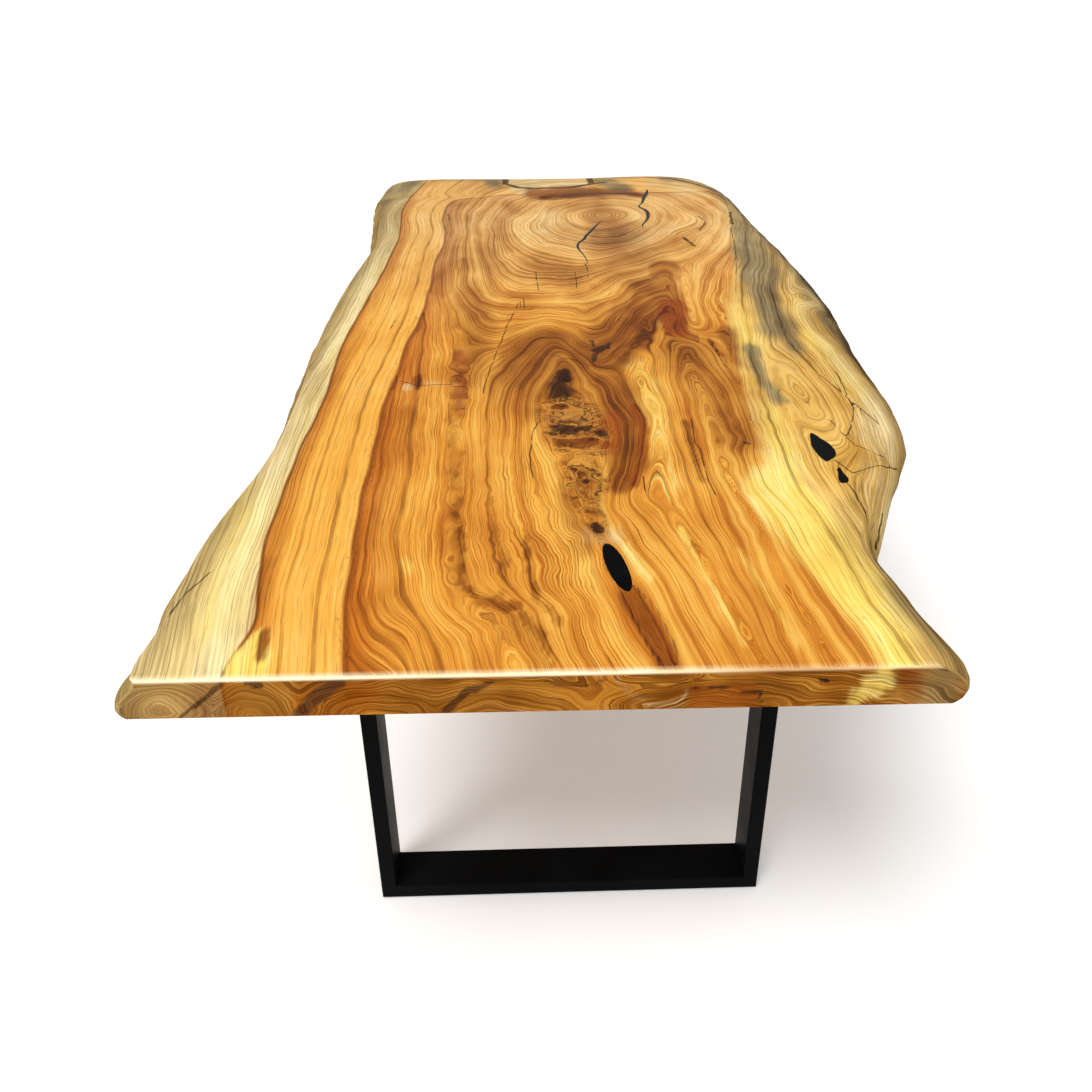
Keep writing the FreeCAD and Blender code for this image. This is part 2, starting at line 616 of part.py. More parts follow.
# Legs, fasteners and pads at both ends
hole_shapes = []
for end, along in (("near", NEAR_FRAME), ("far", FAR_FRAME)):
    post(f"{end}_leg_left_post", 1, along)
    post(f"{end}_leg_right_post", -1, along)
    finish(rail(f"{end}_leg_floor_rail", -1, along, "Sizes.pad_thickness + Sizes.tube_face / 2"))
    bolted_rail(f"{end}_leg_top_rail", along)
    inserts(f"{end}_thread_inserts", along)
    bolts(f"{end}_bolts", along)
    washers(f"{end}_washers", along)
    floor_pads(f"{end}_floor_pads", along)
    hole_shapes.append(insert_holes(f"{end}_insert_holes", along))

cavities = doc.addObject("Part::Compound", "cavities")
cavities.Links = fills + hole_shapes
slab = doc.addObject("Part::Cut", "slab_top")
slab.Base = rounded_board
slab.Tool = cavities
finish(slab)
doc.recompute()

# Every piece is whole before any is written
for item in doc.Objects:
    if "Invalid" in item.State or "Error" in item.State:
        raise RuntimeError(f"{item.Label} did not build: {item.State}")
for item in finished:
    if item.Shape.isNull() or not item.Shape.isValid():
        raise RuntimeError(f"{item.Label} has no valid shape")

os.makedirs("parts", exist_ok=True)
for item in finished:
    item.Shape.exportStep(f"parts/{item.Label}.step")
    box = item.Shape.BoundBox
    print(
        f"{item.Label}: {len(item.Shape.Solids)} solids, {item.Shape.Volume / 1000:.1f} cm3, "
        f"x {box.XMin:.1f} to {box.XMax:.1f}, y {box.YMin:.1f} to {box.YMax:.1f}, z {box.ZMin:.1f} to {box.ZMax:.1f}"
    )
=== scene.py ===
"""Looks of a live edge dining table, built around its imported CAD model."""

import logging
import math
from dataclasses import dataclass
from enum import Enum
from functools import cached_property

import bmesh
import bpy
import numpy as np
from mathutils import Matrix, Vector
from mathutils.kdtree import KDTree


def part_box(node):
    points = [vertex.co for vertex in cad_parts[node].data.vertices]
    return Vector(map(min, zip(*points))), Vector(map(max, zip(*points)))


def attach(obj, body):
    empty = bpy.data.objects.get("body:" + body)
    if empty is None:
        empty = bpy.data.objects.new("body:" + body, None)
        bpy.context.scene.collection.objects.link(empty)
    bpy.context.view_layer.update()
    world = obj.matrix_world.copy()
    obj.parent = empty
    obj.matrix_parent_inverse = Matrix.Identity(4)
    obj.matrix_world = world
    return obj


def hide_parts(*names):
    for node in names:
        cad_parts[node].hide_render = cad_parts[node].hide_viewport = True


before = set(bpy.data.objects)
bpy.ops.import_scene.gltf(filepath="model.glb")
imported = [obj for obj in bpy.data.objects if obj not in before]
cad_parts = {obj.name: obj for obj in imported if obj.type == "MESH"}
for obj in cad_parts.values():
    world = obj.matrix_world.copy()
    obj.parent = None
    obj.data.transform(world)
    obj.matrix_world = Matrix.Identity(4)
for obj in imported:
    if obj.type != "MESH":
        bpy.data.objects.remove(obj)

LOG = logging.getLogger("live_edge_table")
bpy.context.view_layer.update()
MM = 0.001
Spot = tuple[float, float]
Points = tuple[Spot, ...]
Triple = tuple[float, float, float]
Shades = tuple[str, str, str]
Colour = tuple[float, float, float, float]
Field = np.ndarray
Socket = bpy.types.NodeSocket


def tint(code: str) -> Colour:
    """Turns a screen colour such as #c08040 into the linear colour that a shader takes.

    Args:
        code: Hash sign and six hexadecimal digits.

    Returns:
        Linear red, green and blue, and an alpha of one.
    """
    shares = [int(code[place:place + 2], 16) / 255 for place in (1, 3, 5)]
    linear = [share / 12.92 if share <= 0.04045 else ((share + 0.055) / 1.055) ** 2.4 for share in shares]
    return (linear[0], linear[1], linear[2], 1.0)


# Drawing the wood's figure


class Trait(Enum):
    """What the slab's mesh tells its material, each a vertex attribute of that name."""

    GROWTH = "growth"
    SAP = "sap_line"
    BAND = "band_line"
    RIGHT = "right_line"
    CRACK = "crack"
    CRACK_ON = "crack_on"
    SAWN = "sawn"
    SIDE = "side"
    EDGE = "edge"
    # Where the sawn end's rounded upper edge gets its painted highlight
    ARRIS_HIGHLIGHT = "arris_highlight"
    BROWN = "brown"
    RED = "red"
    GREY = "grey"
    YELLOW = "yellow"
    PALE = "pale"
    DARK = "dark"
    BURL = "burl"
    WILD = "wild"


MARKS = (Trait.BROWN, Trait.RED, Trait.GREY, Trait.YELLOW, Trait.PALE, Trait.DARK, Trait.BURL, Trait.WILD)


def smooth(low: float, high: float, value: Field) -> Field:
    """Steps smoothly from 0 at low to 1 at high."""
    share = np.clip((value - low) / (high - low), 0, 1)
    return share * share * (3 - 2 * share)


def smaller(first: Field, second: Field, soft: float) -> Field:
    """Takes the smaller of two fields, rounding the crease between them by soft."""
    share = np.clip(0.5 + 0.5 * (second - first) / soft, 0, 1)
    return second + (first - second) * share - soft * share * (1 - share)


def wobble(across: Field, along: Field, span: float, turn: float) -> Field:
    """Sums crossing waves about as long as span.

    Args:
        across: Places across the grain, in millimetres.
        along: Places along the grain, in millimetres.
        span: Length of the middle wave, in millimetres.
        turn: Angle that sets this wobble apart from others.

    Returns:
        Values from about -1 to 1.
    """
    total = np.zeros_like(across)
    for wave in range(7):
        angle = turn + 2.39996 * wave
        pace = 2 * np.pi / span * (0.62 + 0.17 * wave)
        phase = 1.7 * wave * wave + turn
        total += np.sin(pace * (np.cos(angle) * across + np.sin(angle) * along) + phase) / (1 + 0.25 * wave)
    return total / 2.6


def line_at(points: Points, along: Field) -> Field:
    """Gives a boundary's place across the grain for places along it, with its corners rounded.

    Args:
        points: The boundary's points, from the near end to the far one.
        along: Places along the grain, in millimetres.

    Returns:
        Places across the grain, in millimetres.
    """
    across, up = np.array(points, float).T
    weights = ((-40, 0.15), (-20, 0.2), (0, 0.3), (20, 0.2), (40, 0.15))
    return sum(weight * np.interp(along + shift, up, across) for shift, weight in weights)


def nearest(points: Points, across: Field, along: Field) -> tuple[Field, Field, Field]:
    """Measures how far places are from a line of points.

    Args:
        points: The line's points, in millimetres.
        across: Places across the grain.
        along: Places along the grain.

    Returns:
        Each place's distance, the side of the line it is on, and how far it is past the line's ends.
    """
    spots = np.array(points, float)
    best = np.full(across.shape, 1e9)
    side = np.ones_like(across)
    past = np.zeros_like(across)
    count = len(spots) - 1
    for index, (start, end) in enumerate(zip(spots[:-1], spots[1:])):
        run = end - start
        share = ((across - start[0]) * run[0] + (along - start[1]) * run[1]) / (run @ run)
        held = np.clip(share, 0, 1)
        off_across = across - start[0] - held * run[0]
        off_along = along - start[1] - held * run[1]
        distance = np.hypot(off_across, off_along)
        closer = distance < best
        hand = np.where(run[0] * off_along - run[1] * off_across >= 0, 1.0, -1.0)
        over = np.zeros_like(across)
        if index == 0:
            over = np.maximum(over, -share)
        if index == count - 1:
            over = np.maximum(over, share - 1)
        side = np.where(closer, hand, side)
        past = np.where(closer, over * math.hypot(*run), past)
        best = np.minimum(best, distance)
    return best, side, past


@dataclass(frozen=True)
class Stroke:
    """A soft mark of one trait along a line of points, in millimetres from the figure's origin."""

    trait: Trait
    width: float
    points: Points
    strength: float = 1.0
    soft: float = 0.5
    ragged: float = 0.25

    def mask(self, across: Field, along: Field) -> Field:
        """Gives the mark's strength at places on the slab, drawn out along the grain at its ends."""
        squash = 1.0 if self.trait in (Trait.DARK, Trait.BURL) else 0.4
        points = tuple((place, squash * rise) for place, rise in self.points)
        distance, _, _ = nearest(points, across, squash * along)
        for span, share in ((5.0, 1.0), (1.8, 0.6)):
            shake = wobble(across, along * 0.45, span * self.width, self.width)
            distance = distance + share * self.ragged * self.width * shake
        return self.strength * (1 - smooth(self.width * (1 - self.soft), self.width * (1 + self.soft), distance))


@dataclass(frozen=True)
class Figure:
    """The slab's growth lines, colour boundaries and marks.

    Places are in millimetres from the middle of the near leg's outer face, across and along the grain.
    """

    origin: Spot = (-30.0, -805.0)
    squash: float = 0.5
    knot_gap: float = 30.0
    slack: float = 0.003
    sap_line: Points = (
        (-385, -390), (-382, -330), (-368, -280), (-378, -200), (-388, -100), (-388, 300), (-390, 500),
        (-385, 700), (-375, 900), (-362, 1050), (-355, 1200), (-352, 1350), (-362, 1500), (-372, 1600),
        (-365, 1750), (-350, 1850), (-320, 2000),
    )
    band_line: Points = (
        (-252, -390), (-275, -200), (-280, 0), (-285, 200), (-285, 400), (-270, 600), (-257, 800),
        (-250, 1000), (-252, 1200), (-240, 1400), (-262, 1550), (-250, 1700), (-220, 1765), (-150, 1790),
    )
    right_line: Points = (
        (320, -390), (312, -300), (296, -150), (285, 0), (285, 250), (305, 450), (325, 600), (345, 750),
        (365, 900), (388, 1000), (412, 1100), (438, 1250), (462, 1400), (478, 1520), (500, 1700), (520, 1900),
    )
    lines: tuple[tuple[float, Points], ...] = (
        (0, ((155, 1530), (156, 1531))),
        (33, ((122, 1528), (140, 1562), (165, 1567), (190, 1530), (165, 1490), (135, 1497), (122, 1528))),
        (110, ((265, 1558), (266, 1500), (245, 1430), (190, 1365), (130, 1345), (80, 1375), (48, 1440),
            (41, 1520), (60, 1590), (100, 1640), (160, 1662), (220, 1640), (250, 1602), (265, 1558))),
        (190, ((-16, 1540), (-37, 1459), (-31, 1371), (0, 1295), (60, 1235), (130, 1205), (205, 1255),
            (265, 1340), (310, 1440), (325, 1530), (310, 1630), (270, 1715), (190, 1745), (100, 1735), (30, 1680),
            (-5, 1600), (-16, 1540))),
        (250, ((-75, 1600), (-100, 1510), (-105, 1400), (-95, 1290), (-70, 1190), (-20, 1110), (60, 1075),
            (110, 1085), (150, 1120), (215, 1185), (290, 1270), (350, 1350), (390, 1410), (406, 1496),
            (381, 1615), (356, 1696), (331, 1750), (260, 1790), (150, 1795), (30, 1770), (-30, 1700),
            (-75, 1600))),
        (300, ((-125, 1600), (-142, 1450), (-138, 1250), (-125, 1130), (-105, 1040), (-80, 985), (-40, 955),
            (10, 948), (60, 965), (110, 1010), (170, 1065), (240, 1120), (309, 1175), (350, 1240), (390, 1330),
            (425, 1430), (440, 1520), (420, 1640), (390, 1730), (330, 1800), (200, 1840), (60, 1830), (-40, 1790),
            (-100, 1700), (-125, 1600))),
        (340, ((330, 1850), (200, 1885), (60, 1880), (-60, 1830), (-130, 1740), (-165, 1600), (-175, 1450),
            (-165, 1250), (-148, 1090), (-134, 987), (-115, 890), (-80, 862), (0, 855), (50, 855), (75, 868),
            (105, 915), (160, 985), (215, 1045), (255, 1080))),
        (330, ((455, 1480), (420, 1330), (375, 1220), (330, 1130), (290, 1050), (270, 980), (262, 850),
            (260, 700))),
        (365, ((478, 1420), (440, 1270), (400, 1170), (360, 1080), (325, 980), (300, 850), (290, 700))),
        (400, ((430, 1200), (395, 1090), (355, 960), (330, 850), (320, 700))),
        (400, ((400, 1880), (300, 1930), (150, 1950), (0, 1945), (-120, 1900))),
        (385, ((-190, 1400), (-195, 1150), (-178, 980), (-150, 850), (-110, 790), (-50, 800), (0, 794), (37, 781),
            (62, 752), (100, 800), (137, 850), (175, 920), (231, 980), (253, 1010))),
        (415, ((-205, 1400), (-212, 1150), (-195, 950), (-165, 810), (-130, 720), (-95, 700), (-50, 715),
            (-6, 737), (12, 719), (50, 706), (69, 698), (100, 737), (137, 800), (175, 869), (231, 905),
            (250, 930))),
        (445, ((-220, 1400), (-228, 1150), (-210, 900), (-175, 730), (-130, 640), (-100, 625), (-50, 675),
            (-19, 700), (6, 694), (37, 644), (72, 600), (106, 644), (131, 706), (162, 800), (200, 850),
            (241, 872))),
        (485, ((-100, 540), (-75, 581), (-50, 637), (-25, 669), (0, 650), (31, 600), (56, 556), (69, 531),
            (106, 594), (137, 662), (169, 750), (200, 800), (236, 825))),
        (525, ((-85, 450), (-66, 519), (-37, 594), (-12, 625), (5, 625), (25, 590), (40, 550), (58, 490))),
        (580, ((-50, 450), (-25, 519), (-12, 556), (6, 581), (31, 550), (45, 494), (55, 430))),
        (620, ((-25, 450), (-6, 506), (8, 545), (25, 526), (34, 487), (42, 430))),
        (505, ((66, 505), (72, 500), (80, 500))),
        (530, ((240, 732), (222, 708), (196, 662), (172, 585))),
        (510, ((242, 785), (228, 765), (200, 735), (165, 670), (140, 590), (122, 510), (110, 440), (112, 390),
            (118, 341), (128, 247), (119, 160), (97, 70), (85, 20), (96, -40), (115, -110), (134, -200),
            (152, -300), (172, -390))),
        (545, ((85, 420), (95, 340), (112, 247), (106, 160), (84, 70))),
        (590, ((68, 400), (75, 320), (90, 247), (85, 170), (68, 90))),
        (625, ((55, 360), (62, 280), (66, 200), (58, 120))),
        (655, ((10, 400), (15, 300), (20, 200), (25, 100), (28, 0), (36, -100), (48, -165), (65, -240),
            (85, -330), (100, -395))),
        (507, ((186, 685), (180, 660))),
        (504, ((166, 605), (158, 560))),
        (500, ((152, 520), (148, 470))),
        (495, ((147, 430), (149, 370))),
        (490, ((151, 310), (151, 250))),
        (485, ((149, 190), (143, 110))),
        (480, ((134, 40), (134, -20))),
        (475, ((141, -80), (150, -140))),
        (470, ((159, -190), (170, -250))),
        (465, ((180, -310), (198, -390))),
        (545, ((72, 10), (84, -70), (103, -160), (122, -260), (148, -390))),
        (600, ((50, 20), (58, -50), (75, -130), (96, -230), (124, -390))),
        (550, ((189, 0), (189, 150), (190, 300), (192, 450), (205, 560), (225, 610), (250, 590), (268, 500),
            (280, 350), (272, 180))),
        (575, ((225, -390), (212, -200), (202, -50), (199, 100), (203, 250), (205, 400), (215, 500), (228, 535),
            (245, 500), (258, 400), (262, 280), (257, 150), (252, 50), (262, -80), (280, -230), (300, -390))),
        (602, ((243, -390), (226, -200), (214, -50), (210, 100), (215, 260), (217, 380), (228, 440), (240, 390),
            (246, 280), (244, 150), (241, 20), (251, -100), (268, -250), (288, -390))),
        (615, ((221, 300), (229, 345), (238, 300))),
        (550, ((189, 0), (200, -150), (212, -280), (222, -390))),
        (630, ((252, -390), (234, -200), (220, -60), (216, 60), (221, 170), (230, 230), (238, 170), (236, 40),
            (245, -100), (261, -250), (280, -390))),
        (645, ((263, -390), (244, -200), (228, -60), (228, 10), (236, -60), (252, -230), (271, -390))),
        (545, ((262, 30), (275, -60), (290, -180), (306, -300), (318, -390))),
        (450, ((300, 560), (297, 450), (295, 300), (283, 180))),
        (585, ((-57, 350), (-58, 250), (-62, 120), (-52, 0), (-30, -100), (-18, -200), (0, -300), (22, -390))),
        (625, ((-38, 330), (-36, 200), (-22, 120), (-5, 30), (8, -50), (18, -130), (25, -220), (45, -310),
            (68, -390))),
        (540, ((-90, 400), (-95, 300), (-100, 150), (-92, 0), (-75, -100), (-60, -180), (-30, -280), (-8, -390))),
        (495, ((-125, 470), (-128, 300), (-126, 150), (-122, 0), (-115, -100), (-100, -190), (-60, -265),
            (-30, -390))),
        (455, ((-165, 600), (-165, 450), (-165, 300), (-158, 150), (-152, 0), (-150, -100), (-145, -190),
            (-112, -240), (-75, -300), (-55, -390))),
        (480, ((-238, 1400), (-245, 1150), (-238, 900), (-222, 700), (-205, 550), (-200, 400), (-195, 200),
            (-190, 0), (-185, -120), (-165, -240), (-130, -310), (-110, -390))),
        (520, ((-250, 700), (-248, 500), (-245, 300), (-240, 100), (-235, -100), (-215, -230), (-180, -290),
            (-165, -330), (-155, -390))),
        (550, ((-272, 300), (-270, 100), (-265, -100), (-258, -220), (-235, -300), (-205, -325), (-188, -350),
            (-180, -390))),
    )
    swirl: Spot = (390.0, 370.0)
    edge_knot: Spot = (512.0, 850.0)
    end_trough: Spot = (74.0, 78.0)
    end_domes: tuple[Triple, ...] = (
        (-357, -2, 1.0), (-215, -10, 0.6), (-100, -15, 0.45), (148, -8, 0.35), (250, -25, 0.4), (-450, 10, 0.7),
    )
    cracks: tuple[Points, ...] = (
        ((-127, 379), (-119, 454), (-108, 549), (-89, 701), (-78, 770), (-66, 837)),
        ((482, 228), (458, 347), (436, 460), (422, 586), (436, 740), (458, 924)),
        ((385, 104), (400, 64), (424, 78), (452, 88), (480, 112)),
        ((426, 188), (446, 240), (461, 287), (472, 438)),
        ((412, 243), (426, 157), (460, 108)),
        ((376, -125), (384, -64), (387, 11), (380, 60)),
        ((385, -108), (404, -60), (419, -20)),
        ((-468, -249), (-458, -202), (-442, -160)),
        ((290, 470), (286, 530), (278, 600)),
        ((197, 10), (194, 50), (198, 150), (194, 179), (200, 254)),
        ((-48, 73), (-51, 147), (-46, 227), (-37, 259)),
        ((-310, 700), (-303, 745)),
        ((-263, 436), (-237, 416), (-218, 418), (-179, 419)),
        ((105, 16), (106, 67)),
        ((-55, 807), (-56, 870), (-84, 884)),
        ((82, 1000), (86, 1060), (82, 1100)),
        ((-25, 921), (-28, 1048)),
        ((56, 930), (58, 1040)),
        ((-8, 545), (30, 520), (55, 490)),
        ((401, 1005), (422, 1120), (441, 1256), (455, 1380)),
        ((284, 594), (288, 533)),
    )

    def bend(self, across: Field, along: Field) -> tuple[Field, Field]:
        """Shifts places as the grain wanders, least in the straight wood on the left."""
        calm = 0.3 + 0.7 * smooth(-30, 60, across - line_at(self.band_line, along))
        bent = across + calm * (4 * wobble(across, along, 330, 0.3) + 3 * wobble(across, along * 0.6, 90, 1.1))
        drawn = along + 7 * wobble(across, along, 300, 2.1) + 5 * wobble(across, along, 110, 4.0)
        return bent, drawn

    def flat(self, across: Field, along: Field) -> Field:
        """Gives places as rows in decimetres, squashed along the grain."""
        return np.stack([across, along * self.squash], 1) / 100

    @staticmethod
    def pull(places: Field, knots: Field) -> Field:
        """Gives each knot's share in a thin plate's level at each place."""
        off = places[:, None] - knots[None]
        square = np.maximum(off[..., 0] ** 2 + off[..., 1] ** 2, 1e-18)
        return 0.5 * square * np.log(square)

    @cached_property
    def plate(self) -> tuple[Field, Field]:
        """Bends a thin plate through the traced growth lines.

        Returns:
            The plate's knots, and their weights with the plate's level and slopes last.
        """
        found: dict[tuple[int, int], Triple] = {}
        for level, points in self.lines:
            across, along = np.array(points, float).T
            spots = self.flat(across, along)
            for start, end in zip(spots[:-1], spots[1:]):
                count = max(1, round(100 * math.dist(start, end) / self.knot_gap))
                for share in range(count + 1):
                    x, y = start + (end - start) * share / count
                    found.setdefault((round(x * 30), round(y * 30)), (x, y, level))
        table = np.array(list(found.values()))
        knots = table[:, :2]
        size = len(knots)
        system = np.zeros((size + 3, size + 3))
        system[:size, :size] = self.pull(knots, knots) + self.slack * np.eye(size)
        system[:size, size] = 1
        system[:size, size + 1:] = knots
        system[size:, :size] = system[:size, size:].T
        return knots, np.linalg.solve(system, np.append(table[:, 2], np.zeros(3)))

    def levels(self, across: Field, along: Field) -> Field:
        """Gives the level of the traced growth lines at places on the slab."""
        knots, weights = self.plate
        size = len(knots)
        places = self.flat(*self.bend(across, along))
        parts = [
            self.pull(part, knots) @ weights[:size] + weights[size] + part @ weights[size + 1:]
            for part in np.array_split(places, 1 + len(places) // 4000)
        ]
        return np.concatenate(parts)

    def growth(self, levels: Field, across: Field, along: Field) -> Field:
        """Gives the field whose level lines are the growth lines in the slab's top face.

        Args:
            levels: Levels of the traced growth lines.
            across: Places across the grain.
            along: Places along the grain.

        Returns:
            The field, in millimetres.
        """
        bent, drawn = self.bend(across, along)
        beyond = bent - line_at(self.right_line, drawn)
        swirl = np.hypot(bent - self.swirl[0], (drawn - self.swirl[1]) * 0.20) + 515
        knot = np.hypot(bent - self.edge_knot[0], (drawn - self.edge_knot[1]) * 0.6) + 590
        sapwood = smaller(smaller(480 + beyond, swirl, 25), knot, 20)
        field = levels + (sapwood - levels) * smooth(-8, 8, beyond)
        outside = line_at(self.band_line, drawn) - bent
        return field + (480 + outside - field) * smooth(-4, 4, outside) * smooth(1800, 1730, drawn)

    def heartwood(self, levels: Field, across: Field, along: Field) -> Field:
        """Gives the brown wood that follows the growth lines: the wing, the flame and the lens below it.

        Args:
            levels: Levels of the traced growth lines.
            across: Places across the grain.
            along: Places along the grain.

        Returns:
            The brown's strength, from 0 to 1.
        """
        rise = levels + 0.30 * np.clip(along - 750, 0, 300)
        wing = smooth(418, 452, rise) * smooth(530, 506, levels) * smooth(82, 112, across) * smooth(270, 260, across)
        wing *= smooth(500, 600, along) * (0.5 * smooth(1120, 1020, along) + 0.5 * smooth(980, 860, along))
        flame = smooth(446, 484, levels) * smooth(-122, -92, across) * smooth(86, 70, across)
        flame *= smooth(320, 420, along) * smooth(730, 690, along) * (1 - 0.28 * smooth(570, 610, levels))
        lens = smooth(504, 522, levels) * smooth(46, 66, across) * smooth(142, 132, across)
        lens *= smooth(-5, 40, along) * smooth(480, 430, along)
        return np.maximum(np.maximum(wing, 0.68 * flame), 0.9 * lens)

    def end_growth(self, across: Field, height: Field) -> Field:
        """Gives the growth field in the sawn end, where the lines stand as domes and one trough."""
        field = np.hypot((across - self.end_trough[0]) * 0.7, height - self.end_trough[1])
        for middle, depth, width in self.end_domes:
            field = smaller(field, np.hypot((across - middle) * width, height - depth), 6)
        return field + 4 * wobble(across, height * 2, 60, 0.9)

    def boundaries(self, across: Field, along: Field) -> dict[Trait, Field]:
        """Measures how far places are past the three colour boundaries, in metres."""
        shake = 5 * wobble(across, along * 0.35, 140, 5.0) + 2 * wobble(across, along * 0.3, 45, 1.0)
        sap = across - line_at(self.sap_line, along) + shake
        left = across - line_at(self.band_line, along) + shake
        top = 1772 - along + 10 * wobble(across, along, 200, 2.0) - 40 * smooth(-100, -240, across)
        right = across - line_at(self.right_line, along) + 2 * shake
        return {
            Trait.SAP: sap * MM,
            Trait.BAND: smaller(left, top, 30) * MM,
            Trait.RIGHT: right * MM,
        }

    def crack_lines(self, across: Field, along: Field) -> dict[Trait, Field]:
        """Measures the signed distance from the nearest crack, in metres, and where cracks run."""
        best = np.full(across.shape, 1e6)
        signed = np.full(across.shape, 1e6)
        present = np.zeros_like(across)
        for points in self.cracks:
            distance, side, past = nearest(points, across, along)
            closer = distance < best
            signed = np.where(closer, distance * side, signed)
            present = np.where(closer, 1 - smooth(0, 8, past), present)
            best = np.minimum(best, distance)
        return {Trait.CRACK: np.clip(signed, -60, 60) * MM, Trait.CRACK_ON: present}


def strokes(rows: dict[Trait, tuple[tuple, ...]]) -> tuple[Stroke, ...]:
    """Makes strokes of rows that are listed by trait and hold a stroke's other values in order."""
    return tuple(Stroke(trait, *row) for trait, group in rows.items() for row in group)


def marked(marks: tuple[Stroke, ...], trait: Trait, across: Field, along: Field) -> Field:
    """Draws the strokes of one trait over each other.

    Args:
        marks: Strokes of every trait.
        trait: The trait to draw.
        across: Places across the grain.
        along: Places along the grain, or heights in the sawn end.

    Returns:
        The trait's strength at each place.
    """
    total = np.zeros_like(across)
    for stroke in marks:
        if stroke.trait is trait:
            total = np.maximum(total, stroke.mask(across, along))
    return total


